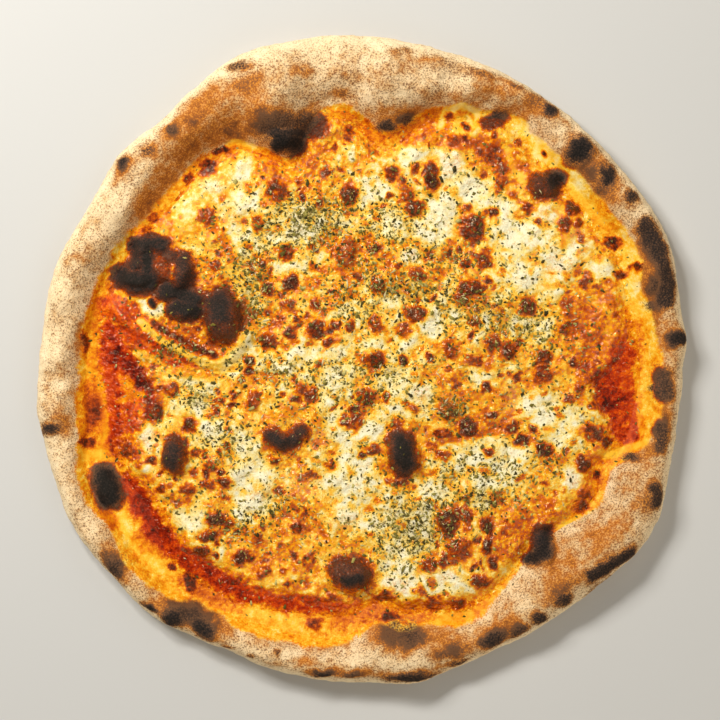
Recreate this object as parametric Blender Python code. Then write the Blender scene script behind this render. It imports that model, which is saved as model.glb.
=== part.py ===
"""Margherita pizza with a puffed, charred rim. Metres, +Z up.

The pizza rests on its flat underside, with the middle of its outline at the origin. It has three
layers: the dough with its rim, the tomato sauce and the melted cheese. Each layer starts from the
height of the one below, so a bubble in the dough lifts everything that lies on it. The largest
flakes of dried oregano are fused to the cheese.
"""

import math
import random

import bmesh
import bpy
from mathutils import Euler, Matrix, Vector
from mathutils.bvhtree import BVHTree
from mathutils.geometry import delaunay_2d_cdt
from mathutils.kdtree import KDTree

# Driving sizes, in millimetres. Directions are in degrees, counter-clockwise from +X.
MM = 0.001
PIZZA_RADIUS = 158.0
RIM_INNER_RADIUS = 140.4
BASE_THICKNESS = 3.6
LAYER_GAP = 0.3

# A swell is (direction, half spread in degrees, millimetres added).
OUTLINE_SWELLS = (
    (4, 3, 2.0),
    (23, 11, 3.9),
    (100, 14, 3.4),
    (112, 6, 2.5),
    (130, 6, -3.4),
    (150, 8, -3.4),
    (190, 9, 3.4),
    (211, 13, 6.1),
    (230, 7, 3.9),
    (246, 4, -1.5),
    (279, 5, 2.5),
    (297, 8, -1.5),
    (329, 11, 7.6),
)
RIM_INNER_SWELLS = (
    (24, 5, 4.9),
    (58, 7, 8.0),
    (84, 8, -17.7),
    (110, 50, -10.8),
    (110, 7, -20.6),
    (145, 12, -2.9),
    (203, 8, 7.9),
    (225, 16, 9.8),
    (274, 6, -10.8),
    (284, 5, -5.4),
    (306, 8, -3.9),
    (316, 9, -8.3),
    (336, 4, -5.9),
    (352, 20, 3.4),
)

# Bare dough, stained by oil, between the rim and the sauce, and bare sauce round the cheese.
DOUGH_BAND = 5.0
DOUGH_BAND_SWELLS = ((212, 20, 14.0), (262, 12, 7.5))
SAUCE_BAND = 2.6
SAUCE_BAND_SWELLS = ((183, 11, 19.0), (232, 27, 7.0), (353, 9, 16.0))
EDGE_LOBES = ((7, 1.3, 0.4), (19, 0.7, 2.1))  # lobes round the edge, millimetres, phase

# The rim is higher where it is wider.
RIM_LEAST_HEIGHT = 11.0
RIM_HEIGHT_PER_WIDTH = 0.28
RIM_LIP = 2.4
CREST_FROM_OUTSIDE = 0.45
LEAST_CREST_INSET = 6.0
RIM_UNDERCUT = 5.0
WIDEST_AT_HEIGHT = 0.42
RIM_ROUNDING = ((35, 0), (65, 0), (90, 0), (90, 45), (90, 90))  # degrees down the outer side

SAUCE_THICKNESS = 1.2
SAUCE_EDGE_THICKNESS = 0.6
CHEESE_THICKNESS = 2.6
CHEESE_EDGE_THICKNESS = 1.1
LAYER_TAPER = 8.0

# A dough bubble is (x, y, half length, half width, turn, height). Dark, blown-up spots of dough.
BUBBLES = (
    (-68.7, 21.1, 14.0, 10.4, 90, 11.0),
    (20.1, -45.6, 12.0, 8.8, 110, 8.0),
    (-6.4, -105.5, 11.6, 9.4, 0, 8.0),
    (-92.8, -47.1, 9.6, 7.2, 90, 7.0),
    (-40.2, -39.3, 6.8, 6.2, 0, 5.0),
    (-30.0, -35.3, 4.8, 4.4, 0, 4.0),
    (-111.0, 40.2, 10.6, 5.2, 0, 6.0),
    (-108.5, 58.0, 9.0, 4.8, 85, 5.0),
    (-98.6, 45.0, 7.0, 7.0, 0, 6.0),
    (-89.3, 43.0, 10.0, 6.6, 75, 7.0),
    (-87.9, 25.5, 9.8, 6.0, 0, 5.0),
    (88.8, -91.8, 9.0, 6.6, 90, 6.5),
    (89.8, 87.9, 8.4, 7.6, 0, 6.0),
    (106.5, 104.0, 9.8, 8.4, 60, 4.0),
    (-36.3, 108.0, 14.0, 6.0, 0, 3.5),
    (-125.6, -62.3, 12.0, 7.0, 120, 4.0),
    (121.0, -98.0, 12.0, 5.0, 35, 3.5),
    (-15.0, 120.0, 16.0, 9.0, 10, 3.0),
    (-88.0, 112.0, 17.0, 10.0, 40, 3.0),
    (40.0, 128.0, 15.0, 9.0, -10, 3.0),
)

# A raised fold of dough on the left, from the rim round the foot of the tallest bubble.
FOLD_LINE = ((-124, 27), (-103, 11), (-88, 5), (-72, -1), (-64, 3), (-56, 13))
FOLD_HEIGHT = 3.2
FOLD_HALF_WIDTH = 3.4

# A cheese blister is (x, y, width across, length along Y). Browned, swollen spots of cheese.
BLISTER_HEIGHT_PER_WIDTH = 0.2
BLISTERS = (
    (-7.9, 53.5, 9.8, 14.7),
    (-46.6, 35.8, 6.9, 6.9),
    (-42.7, 84.4, 8.8, 12.8),
    (-51.5, 67.7, 6.4, 8.8),
    (-77.0, 71.2, 7.9, 7.9),
    (-37.3, 54.0, 7.9, 7.9),
    (-47.1, 10.3, 8.8, 9.8),
    (-6.4, 82.5, 7.9, 10.8),
    (34.4, 91.3, 7.9, 14.7),
    (54.0, 65.8, 11.8, 12.8),
    (60.4, 50.1, 7.9, 7.9),
    (52.5, 36.8, 10.8, 8.8),
    (27.0, 43.7, 9.8, 6.9),
    (8.3, 36.8, 8.8, 7.9),
    (26.0, 24.1, 9.8, 7.9),
    (5.9, 1.0, 9.8, 6.9),
    (81.0, 27.5, 8.8, 8.8),
    (71.7, 4.9, 8.8, 9.8),
    (88.3, -6.4, 9.8, 8.8),
    (107.0, -12.3, 6.9, 6.9),
    (114.8, -34.8, 9.8, 8.8),
    (89.3, -43.7, 8.8, 6.9),
    (108.5, -71.2, 7.9, 6.9),
    (51.5, -32.4, 8.8, 9.8),
    (42.2, -24.1, 9.8, 11.8),
    (1.5, -17.7, 8.3, 8.3),
    (-4.9, -29.4, 8.8, 6.9),
    (17.2, 66.8, 8.8, 8.8),
    (-54.5, -18.7, 6.9, 10.8),
    (-94.7, -14.2, 8.8, 6.9),
    (-118.0, -44.0, 8.8, 7.9),
    (-85.4, -62.8, 8.8, 6.9),
    (-72.1, -77.5, 9.8, 6.9),
    (-75.1, -85.9, 9.8, 5.9),
    (-48.6, -103.6, 6.9, 6.9),
    (41.7, -80.0, 10.8, 12.8),
    (47.6, -92.3, 12.8, 10.8),
    (32.4, -100.1, 8.8, 6.9),
    (58.4, -108.5, 9.8, 6.4),
    (36.0, -119.0, 8.8, 6.9),
    (10.3, -115.8, 10.8, 5.9),
    (90.0, 103.6, 7.9, 6.9),
    (123.2, 58.4, 8.8, 5.9),
    (110.4, 39.8, 4.9, 8.8),
)

# Dried oregano: flat flakes of four to six sides.
FLAKE_COUNT = 56
FLAKE_LENGTHS = (2.8, 4.2)
FLAKE_WIDTH_SHARE = 0.5
FLAKE_THICKNESS = 0.9
FLAKE_EDGE_CLEARANCE = 9.0
FLAKE_SPACING = 8.0
FLAKE_SEED = 11

# How finely the layers are faceted.
DIRECTIONS = 112
DOUGH_SPACING = 13.5
LEAST_FACET = 2.4
FIRST_OF_SAUCE_RING, FIRST_OF_CHEESE_RING = 3 * DIRECTIONS, 4 * DIRECTIONS

LAYER_COLOURS = {  # base colour and roughness
    "crust": ((0.80, 0.56, 0.29, 1.0), 0.85),
    "tomato_sauce": ((0.56, 0.07, 0.02, 1.0), 0.30),
    "melted_cheese": ((0.95, 0.72, 0.32, 1.0), 0.42),
}


def clear_scene():
    for old in list(bpy.data.objects):
        bpy.data.objects.remove(old, do_unlink=True)


def smooth_step(share):
    """From 0 to 1 with level ends."""
    share = min(1.0, max(0.0, share))
    return share * share * (3 - 2 * share)


def swelling(direction, swells):
    """The sum of bell-shaped swells, each at its own direction."""
    total = 0.0
    for centre, spread, added in swells:
        off = (direction - centre + 180) % 360 - 180
        total += added * math.exp(-((off / spread) ** 2))
    return total


def edge_lobes(direction):
    """Small uneven lobes of a poured or melted edge."""
    turn = math.radians(direction)
    return sum(size * math.sin(lobes * turn + phase) for lobes, size, phase in EDGE_LOBES)


def outer_radius(direction):
    return PIZZA_RADIUS + swelling(direction, OUTLINE_SWELLS)


def rim_inner_radius(direction):
    return RIM_INNER_RADIUS + swelling(direction, RIM_INNER_SWELLS)


def sauce_radius(direction):
    band = DOUGH_BAND + swelling(direction, DOUGH_BAND_SWELLS)
    return rim_inner_radius(direction) - band + 0.6 * edge_lobes(direction)


def cheese_radius(direction):
    band = SAUCE_BAND + swelling(direction, SAUCE_BAND_SWELLS)
    return sauce_radius(direction) - band + edge_lobes(3 * direction) * smooth_step(band / 12)


def rim_width(direction):
    return outer_radius(direction) - rim_inner_radius(direction)


def rim_height(direction):
    return RIM_LEAST_HEIGHT + RIM_HEIGHT_PER_WIDTH * rim_width(direction)


def crest_radius(direction):
    inset = max(LEAST_CREST_INSET, CREST_FROM_OUTSIDE * rim_width(direction))
    return outer_radius(direction) - inset


def shoulder_radius(direction):
    return 0.5 * (rim_inner_radius(direction) + crest_radius(direction))


def swell_of_base(x, y):
    """Slow unevenness of the stretched dough: three crossing waves."""
    return (
        0.7 * math.sin(0.041 * x + 0.023 * y + 0.6)
        + 0.6 * math.sin(-0.028 * x + 0.052 * y + 2.0)
        + 0.4 * math.sin(0.083 * x - 0.061 * y + 4.1)
    )


def rim_lumps(x, y):
    """Blown, uneven skin of the rim: crossing waves a few centimetres long."""
    lumps = math.sin(0.19 * x + 0.06 * y + 0.4) * math.sin(0.16 * y - 0.07 * x + 1.3)
    return 1.1 * lumps + 0.5 * math.sin(0.27 * x - 0.23 * y + 5.0)


def bubble_lift(x, y):
    """The highest of the dough bubbles at this place: steep-sided domes."""
    lift = 0.0
    for bx, by, half_length, half_width, turn, height in BUBBLES:
        cosine, sine = math.cos(math.radians(turn)), math.sin(math.radians(turn))
        along = ((x - bx) * cosine + (y - by) * sine) / half_length
        across = ((y - by) * cosine - (x - bx) * sine) / half_width
        left = 1 - along * along - across * across
        if left > 0:
            lift = max(lift, height * left**0.8)
    return lift


def fold_lift(x, y):
    """A ridge along the fold line, lower with distance from it."""
    place = Vector((x, y))
    nearest = 1e9
    for start, end in zip(FOLD_LINE, FOLD_LINE[1:]):
        a, b = Vector(start), Vector(end)
        share = (place - a).dot(b - a) / (b - a).length_squared
        foot = a + (b - a) * min(1.0, max(0.0, share))
        nearest = min(nearest, (place - foot).length)
    return FOLD_HEIGHT * math.exp(-((nearest / FOLD_HALF_WIDTH) ** 2))


def dough_height(x, y):
    """Top of the dough, as far out as the crest of the rim."""
    direction = math.degrees(math.atan2(y, x))
    radius = math.hypot(x, y)
    inner = rim_inner_radius(direction)
    foot = sauce_radius(direction) - 6
    lip = smooth_step((radius - foot) / (inner - foot))
    climb = (radius - inner + 3) / (crest_radius(direction) - inner + 3)
    climb = math.sin(math.pi / 2 * min(1.0, max(0.0, climb))) ** 1.15
    rise = rim_height(direction) - BASE_THICKNESS - RIM_LIP
    return (
        BASE_THICKNESS
        + swell_of_base(x, y)
        + RIM_LIP * lip
        + (rise + rim_lumps(x, y)) * climb
        + bubble_lift(x, y)
        + fold_lift(x, y) * (1 - climb)
    )


def layer_taper(x, y, edge_radius):
    """1 inside a layer, down to 0 at its edge."""
    direction = math.degrees(math.atan2(y, x))
    return smooth_step((edge_radius(direction) - math.hypot(x, y)) / LAYER_TAPER)


def sauce_underside(x, y):
    return dough_height(x, y) + LAYER_GAP


def sauce_height(x, y):
    full = layer_taper(x, y, sauce_radius)
    thickness = SAUCE_EDGE_THICKNESS + (SAUCE_THICKNESS - SAUCE_EDGE_THICKNESS) * full
    return sauce_underside(x, y) + thickness


def cheese_underside(x, y):
    return sauce_height(x, y) + LAYER_GAP


def blister_lift(x, y):
    """The highest of the cheese blisters at this place: low round domes."""
    lift = 0.0
    for bx, by, width, length in BLISTERS:
        left = 1 - (2 * (x - bx) / width) ** 2 - (2 * (y - by) / length) ** 2
        if left > 0:
            lift = max(lift, BLISTER_HEIGHT_PER_WIDTH * width * left**0.7)
    return lift


def cheese_thickness(x, y):
    """Lumpy where the cheese pooled, swollen at a blister and thin at the edge."""
    full = layer_taper(x, y, cheese_radius)
    lumps = 0.5 * math.sin(0.21 * x + 0.11 * y) * math.sin(0.17 * y - 0.08 * x + 1.3)
    lumps += 0.35 * math.sin(0.37 * x - 0.29 * y + 2.2)
    swollen = CHEESE_THICKNESS + lumps + blister_lift(x, y)
    return CHEESE_EDGE_THICKNESS + (swollen - CHEESE_EDGE_THICKNESS) * full


def around(radius_at, direction):
    """The point in a direction, as far out as a radius function says."""
    radius, turn = radius_at(direction), math.radians(direction)
    return Vector((radius * math.cos(turn), radius * math.sin(turn)))


def ring(radius_at):
    return [around(radius_at, 360 * step / DIRECTIONS) for step in range(DIRECTIONS)]


def ellipse_points(x, y, half_length, half_width, turn, sides):
    """Points round an ellipse, for the waist or the foot of a bubble or a blister."""
    cosine, sine = math.cos(math.radians(turn)), math.sin(math.radians(turn))
    for side in range(sides):
        angle = 2 * math.pi * side / sides
        along, across = half_length * math.cos(angle), half_width * math.sin(angle)
        yield Vector((x + along * cosine - across * sine, y + along * sine + across * cosine))


def bubble_points():
    """Where the facets of the dough bubbles meet: a top, a waist and a foot each."""
    for x, y, half_length, half_width, turn, _ in BUBBLES:
        yield Vector((x, y))
        yield from ellipse_points(x, y, 0.6 * half_length, 0.6 * half_width, turn, 6)
        yield from ellipse_points(x, y, 1.04 * half_length, 1.04 * half_width, turn, 9)


def blister_points():
    """A top, a waist and a foot for each cheese blister."""
    for x, y, width, length in BLISTERS:
        yield Vector((x, y))
        yield from ellipse_points(x, y, 0.3 * width, 0.3 * length, 0, 6)
        yield from ellipse_points(x, y, 0.55 * width, 0.55 * length, 0, 8)


def lattice_points(spacing):
    """A triangular lattice over the whole pizza."""
    row_height = spacing * math.sqrt(3) / 2
    rows = int(PIZZA_RADIUS / row_height) + 1
    for row in range(-rows, rows + 1):
        for column in range(-rows - 1, rows + 2):
            yield Vector(((column + 0.5 * (row % 2)) * spacing, row * row_height))


def inside_ring(outline, point):
    """Whether a point lies inside a ring, whose points stand at equal turns from +X."""
    turn = math.degrees(math.atan2(point.y, point.x)) % 360
    step = int(turn * DIRECTIONS / 360) % DIRECTIONS
    a, b = outline[step], outline[(step + 1) % DIRECTIONS]
    return (b - a).cross(point - a) > 0


def clear_points(source, points, outline, clearance):
    """The points of a source that lie in a ring, and clear of the points given and of each other."""
    tree = KDTree(len(points))
    for number, point in enumerate(points):
        tree.insert(point.to_3d(), number)
    tree.balance()
    added = []
    for point in source:
        near = tree.find(point.to_3d())[2] < clearance
        crowded = any((point - other).length < min(clearance, LEAST_FACET) for other in added)
        if inside_ring(outline, point) and not near and not crowded:
            added.append(point)
    return added


def coarse_plan(rings):
    """Triangles over the area in the first ring, with the edges of every ring kept.

    The points are the rings', in order, then those of the bubbles, then a lattice.
    """
    points = [point for outline in rings for point in outline]
    edges = []
    for first in range(0, len(points), DIRECTIONS):
        edges += [(first + step, first + (step + 1) % DIRECTIONS) for step in range(DIRECTIONS)]
    points += clear_points(bubble_points(), points, rings[0], LEAST_FACET)
    points += clear_points(lattice_points(DOUGH_SPACING), points, rings[0], 0.6 * DOUGH_SPACING)
    found, _, triangles, _, _, _ = delaunay_2d_cdt(points, edges, [], 1, 1e-6)
    return found, triangles


def within(plan, outline):
    """The part of a plan that lies inside a ring."""
    points, triangles = plan
    kept = [t for t in triangles if inside_ring(outline, sum((points[i] for i in t), Vector((0, 0))) / 3)]
    return points, kept


def fine_plan(plan, outline):
    """A plan with its inner edges halved, and with the points of the cheese blisters."""
    points, triangles = plan
    ends = {tuple(sorted((t[i], t[i - 1]))) for t in triangles for i in range(3)}
    rim = {tuple(sorted((i, (i + 1) % DIRECTIONS))) for i in range(DIRECTIONS)}
    points, edges = list(points), []
    for a, b in sorted(ends):
        long_enough = (points[a] - points[b]).length > 2 * LEAST_FACET
        if (a - FIRST_OF_CHEESE_RING, b - FIRST_OF_CHEESE_RING) in rim or not long_enough:
            edges.append((a, b))
        else:
            edges += [(a, len(points)), (len(points), b)]
            points.append((points[a] + points[b]) / 2)
    points += clear_points(blister_points(), points, outline, 0.5 * LEAST_FACET)
    found, _, triangles, _, _, _ = delaunay_2d_cdt(points, edges, [], 1, 1e-6)
    return found, triangles


def lay_skin(body, plan, height, faces_up):
    """Adds a plan's triangles at the heights of a function. Returns the vertex of each point."""
    points, triangles = plan
    vertices = {}
    for index in sorted({index for triangle in triangles for index in triangle}):
        x, y = points[index]
        vertices[index] = body.verts.new(Vector((x, y, height(x, y))) * MM)
    for triangle in triangles:
        order = triangle if faces_up else reversed(triangle)
        body.faces.new([vertices[index] for index in order])
    return vertices


def close_side(body, upper, lower):
    """Joins two rings of vertices with triangles that face outwards."""
    for step in range(DIRECTIONS):
        after = (step + 1) % DIRECTIONS
        body.faces.new((upper[step], lower[step], lower[after]))
        body.faces.new((upper[step], lower[after], upper[after]))


def ring_vertices(skin, first):
    """The vertices of a ring, whose points stand together in the plan."""
    return [skin[first + step] for step in range(DIRECTIONS)]


def new_node(name, body, collection):
    """Makes an object of a finished body, with its colour and smooth shading."""
    mesh = bpy.data.meshes.new(name)
    body.to_mesh(mesh)
    body.free()
    mesh.shade_smooth()
    mesh.set_sharp_from_angle(angle=math.radians(50))
    material = bpy.data.materials.new(name)
    material.use_nodes = True
    shader = material.node_tree.nodes["Principled BSDF"]
    colour, roughness = LAYER_COLOURS[name]
    shader.inputs["Base Color"].default_value = colour
    shader.inputs["Roughness"].default_value = roughness
    mesh.materials.append(material)
    node = bpy.data.objects.new(name, mesh)
    collection.objects.link(node)
    return node


def rim_side_point(direction, down, under):
    """A point on the rim's outer side: out and down from the crest, then in under the rim."""
    crest_height = dough_height(*around(crest_radius, direction))
    widest = WIDEST_AT_HEIGHT * crest_height
    inner, outer = crest_radius(direction), outer_radius(direction)
    radius = inner + (outer - inner) * math.sin(math.radians(down))
    radius -= RIM_UNDERCUT * (1 - math.cos(math.radians(under)))
    height = widest + (crest_height - widest) * math.cos(math.radians(down))
    height -= widest * math.sin(math.radians(under))
    turn = math.radians(direction)
    return Vector((radius * math.cos(turn), radius * math.sin(turn), height))


def make_crust(plan, collection):
    """The dough: its top out to the rim's crest, the rim's rounded side, and the flat underside."""
    body = bmesh.new()
    skin = lay_skin(body, plan, dough_height, True)
    upper = ring_vertices(skin, 0)
    for down, under in RIM_ROUNDING:
        side = [rim_side_point(360 * step / DIRECTIONS, down, under) for step in range(DIRECTIONS)]
        lower = [body.verts.new(point * MM) for point in side]
        close_side(body, upper, lower)
        upper = lower
    for vertex in upper:
        vertex.co.z = 0
    body.faces.new(list(reversed(upper)))
    return new_node("crust", body, collection)


def make_sauce(plan, collection):
    """A thin layer, each of whose facets runs level with the dough under it."""
    body = bmesh.new()
    lower = lay_skin(body, plan, sauce_underside, False)
    upper = lay_skin(body, plan, sauce_height, True)
    close_side(body, ring_vertices(upper, FIRST_OF_SAUCE_RING), ring_vertices(lower, FIRST_OF_SAUCE_RING))
    return new_node("tomato_sauce", body, collection)


def make_cheese(plan, cheese_edge, collection):
    """A layer whose underside follows the sauce's facets and whose top is faceted finer."""
    body = bmesh.new()
    lower = lay_skin(body, plan, cheese_underside, False)
    facets = BVHTree.FromBMesh(body)

    def cheese_height(x, y):
        """Over the higher of the true underside and its facet, so the two never cross."""
        facet = facets.ray_cast(Vector((x, y, -1)) * MM, Vector((0, 0, 1)))[0]
        floor = cheese_underside(x, y)
        if facet:
            floor = max(floor, facet.z / MM)
        return floor + cheese_thickness(x, y)

    upper = lay_skin(body, fine_plan(plan, cheese_edge), cheese_height, True)
    close_side(body, ring_vertices(upper, FIRST_OF_CHEESE_RING), ring_vertices(lower, FIRST_OF_CHEESE_RING))
    return new_node("melted_cheese", body, collection)


def make_flake(name, place, normal, chance, collection):
    """One flake of oregano: a low prism with uneven corners, lying half sunk in the cheese."""
    length = chance.uniform(*FLAKE_LENGTHS)
    body = bmesh.new()
    bmesh.ops.create_cone(
        body,
        cap_ends=True,
        segments=chance.choice((4, 5, 6)),
        radius1=0.5,
        radius2=0.38,
        depth=1.0,
    )
    for vertex in body.verts:
        vertex.co.x *= chance.uniform(0.8, 1.1)
        vertex.co.y *= chance.uniform(0.75, 1.1)
    lie = normal.to_track_quat("Z", "Y").to_matrix().to_4x4()
    tip = Euler((chance.uniform(-0.25, 0.25), chance.uniform(-0.25, 0.25), chance.uniform(0, 6.28)))
    size = Vector((length, FLAKE_WIDTH_SHARE * length, FLAKE_THICKNESS)) * MM
    body.transform(Matrix.Translation(place) @ lie @ tip.to_matrix().to_4x4() @ Matrix.Diagonal(size).to_4x4())
    mesh = bpy.data.meshes.new(name)
    body.to_mesh(mesh)
    body.free()
    collection.objects.link(bpy.data.objects.new(name, mesh))


def strew_flakes(cheese, collection):
    """Lays flakes on the cheese by a seeded draw, clear of its edge and of each other."""
    chance = random.Random(FLAKE_SEED)
    surface = BVHTree.FromPolygons(
        [vertex.co for vertex in cheese.data.vertices],
        [tuple(face.vertices) for face in cheese.data.polygons],
    )
    taken = []
    while len(taken) < FLAKE_COUNT:
        direction = chance.uniform(0, 360)
        reach = cheese_radius(direction) - FLAKE_EDGE_CLEARANCE
        spot = Vector((reach * math.sqrt(chance.random()), 0, 100))
        spot.rotate(Euler((0, 0, math.radians(direction))))
        if any((spot - other).length < FLAKE_SPACING for other in taken):
            continue
        place, normal, _, _ = surface.ray_cast(spot * MM, Vector((0, 0, -1)))
        taken.append(spot)
        make_flake(f"flake_{len(taken)}", place, normal, chance, collection)


def fuse(node, collection):
    """Joins a collection's objects to a node with one union, and removes them."""
    union = node.modifiers.new("flakes", "BOOLEAN")
    union.operation = "UNION"
    union.operand_type = "COLLECTION"
    union.collection = collection
    union.solver = "EXACT"
    bpy.context.view_layer.update()
    evaluated = node.evaluated_get(bpy.context.evaluated_depsgraph_get())
    mesh = bpy.data.meshes.new_from_object(evaluated)
    node.modifiers.remove(union)
    node.data = mesh
    mesh.name = node.name
    for flake in list(collection.objects):
        bpy.data.objects.remove(flake, do_unlink=True)
    bpy.data.collections.remove(collection)


def centre_on_origin(nodes):
    """Slides the whole pizza so that the middle of its outline stands at the origin."""
    corners = [vertex.co for vertex in nodes[0].data.vertices]
    middle = [0.5 * (min(c[k] for c in corners) + max(c[k] for c in corners)) for k in range(2)]
    for node in nodes:
        node.data.transform(Matrix.Translation((-middle[0], -middle[1], 0)))


def main():
    clear_scene()
    pizza = bpy.data.collections.new("margherita_pizza")
    flakes = bpy.data.collections.new("oregano_flakes")
    for collection in (pizza, flakes):
        bpy.context.scene.collection.children.link(collection)

    sauce_edge, cheese_edge = ring(sauce_radius), ring(cheese_radius)
    rings = [ring(crest_radius), ring(shoulder_radius), ring(rim_inner_radius), sauce_edge, cheese_edge]
    plan = coarse_plan(rings)
    crust = make_crust(plan, pizza)
    sauce = make_sauce(within(plan, sauce_edge), pizza)
    cheese = make_cheese(within(plan, cheese_edge), cheese_edge, pizza)
    strew_flakes(cheese, flakes)
    fuse(cheese, flakes)
    centre_on_origin([crust, sauce, cheese])


main()
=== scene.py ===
import bpy
import numpy as np
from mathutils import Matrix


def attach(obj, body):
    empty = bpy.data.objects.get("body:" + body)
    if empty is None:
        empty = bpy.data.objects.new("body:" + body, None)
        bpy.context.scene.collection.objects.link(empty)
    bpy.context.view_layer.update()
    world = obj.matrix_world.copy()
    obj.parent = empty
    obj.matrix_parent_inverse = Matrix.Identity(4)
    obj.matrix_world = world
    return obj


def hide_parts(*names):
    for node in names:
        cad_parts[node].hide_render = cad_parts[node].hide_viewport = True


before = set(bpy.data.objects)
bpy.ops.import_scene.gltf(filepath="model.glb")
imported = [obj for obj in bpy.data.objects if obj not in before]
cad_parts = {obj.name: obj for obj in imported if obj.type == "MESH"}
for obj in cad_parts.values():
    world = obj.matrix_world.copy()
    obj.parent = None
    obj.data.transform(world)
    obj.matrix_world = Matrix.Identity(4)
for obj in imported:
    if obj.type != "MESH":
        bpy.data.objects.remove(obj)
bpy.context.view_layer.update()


# The floor, the light and the camera
# The pizza lies on a plain pale floor. A soft light stands to the upper left of the photograph,
# with a smaller one beside it for the glints and two broad weak ones to the right and in front,
# and the camera looks straight down.
MM = 0.001
MM_PER_PIXEL = 0.4908
PHOTO_SIDE = 720
PIZZA_IN_PHOTO = (362, 360)
CAMERA_HEIGHT, FACE_HEIGHT, SENSOR = 1.2, 0.012, 36.0
WARM_WHITE, WARM_FILL = (1.0, 0.97, 0.91), (1.0, 0.92, 0.8)
ROOM_COLOUR, ROOM_STRENGTH = (1.0, 0.93, 0.82, 1.0), 0.13
FLOOR_HALF_SIDE, FLOOR_HEIGHT = 4.0, -0.0002
FLOOR_COLOUR, FLOOR_ROUGHNESS = (0.6, 0.6, 0.59, 1.0), 0.6


def soft_light(name, place, side, watts, tint):
    """A square area light that looks at the pizza from a place in metres."""
    lamp = bpy.data.lights.new(name, "AREA")
    lamp.size, lamp.energy, lamp.color = side, watts, tint
    holder = bpy.data.objects.new(name, lamp)
    bpy.context.scene.collection.objects.link(holder)
    holder.location = place
    away = holder.location.normalized()
    holder.rotation_euler = away.to_track_quat("Z", "Y").to_euler()


soft_light("key_light", (-0.75, 0.65, 0.95), 0.32, 12.2, WARM_WHITE)
soft_light("glint_light", (-0.35, 0.6, 0.8), 0.15, 4.8, WARM_WHITE)
soft_light("right_fill", (0.95, 0.75, 0.85), 1.4, 5.3, WARM_FILL)
soft_light("front_fill", (0.5, -1.1, 0.8), 1.5, 7.6, WARM_FILL)
world = bpy.data.worlds.new("pale_room")
world.use_nodes = True
room = world.node_tree.nodes["Background"]
room.inputs["Color"].default_value = ROOM_COLOUR
room.inputs["Strength"].default_value = ROOM_STRENGTH
bpy.context.scene.world = world
bpy.context.scene.view_settings.view_transform = "Standard"

camera_data = bpy.data.cameras.new("camera")
camera_data.sensor_width = SENSOR
camera_data.lens = SENSOR * CAMERA_HEIGHT / (PHOTO_SIDE * MM_PER_PIXEL * MM)
camera = bpy.data.objects.new("camera", camera_data)
camera_x = (PHOTO_SIDE / 2 - PIZZA_IN_PHOTO[0]) * MM_PER_PIXEL * MM
camera.location = (camera_x, 0.0, CAMERA_HEIGHT + FACE_HEIGHT)
bpy.context.scene.collection.objects.link(camera)
bpy.context.scene.camera = camera

floor_corners = [
    (side_x * FLOOR_HALF_SIDE, side_y * FLOOR_HALF_SIDE, FLOOR_HEIGHT)
    for side_x, side_y in ((-1, -1), (1, -1), (1, 1), (-1, 1))
]
floor_mesh = bpy.data.meshes.new("floor")
floor_mesh.from_pydata(floor_corners, [], [(0, 1, 2, 3)])
floor_paint = bpy.data.materials.new("pale_floor")
floor_paint.use_nodes = True
floor_shader = floor_paint.node_tree.nodes["Principled BSDF"]
floor_shader.inputs["Base Color"].default_value = FLOOR_COLOUR
floor_shader.inputs["Roughness"].default_value = FLOOR_ROUGHNESS
floor_mesh.materials.append(floor_paint)
floor = bpy.data.objects.new("floor", floor_mesh)
bpy.context.scene.collection.objects.link(floor)


# The baked dough
# One round of stretched bread dough. The heat blows its edge up into a rim that is floury,
# speckled and charred in spots, and bubbles in the dough lift what lies on it.
# Directions are in degrees, counter-clockwise from +X, and sizes in millimetres.
PIZZA_RADIUS = 158.0
RIM_INNER_RADIUS = 140.4
BASE_THICKNESS = 3.6
# Swells of an outline: direction, spread and size.
OUTLINE_SWELLS = (
    (4, 3, 2.0), (23, 11, 3.9), (100, 14, 3.4), (112, 6, 2.5), (130, 6, -3.4), (150, 8, -3.4),
    (190, 9, 3.4), (211, 13, 6.1), (230, 7, 3.9), (246, 4, -1.5), (279, 5, 2.5), (297, 8, -1.5),
    (329, 11, 7.6),
)
RIM_INNER_SWELLS = (
    (24, 5, 4.9), (58, 7, 8.0), (84, 8, -17.7), (110, 50, -10.8), (110, 7, -20.6), (145, 12, -2.9),
    (203, 8, 7.9), (225, 16, 9.8), (274, 6, -10.8), (284, 5, -5.4), (306, 8, -3.9), (316, 9, -8.3),
    (336, 4, -5.9), (352, 20, 3.4),
)
DOUGH_BAND, DOUGH_BAND_SWELLS = 5.0, ((212, 20, 14.0), (262, 12, 7.5))
EDGE_LOBES = ((7, 1.3, 0.4), (19, 0.7, 2.1))  # how many there are, size, phase
RIM_LEAST_HEIGHT, RIM_HEIGHT_PER_WIDTH, RIM_LIP = 11.0, 0.28, 2.4
RIM_FOOT, LIP_FOOT = 3, 6
CREST_FROM_OUTSIDE, LEAST_CREST_INSET = 0.45, 6.0
RIM_UNDERCUT, WIDEST_AT_HEIGHT = 5.0, 0.42
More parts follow.
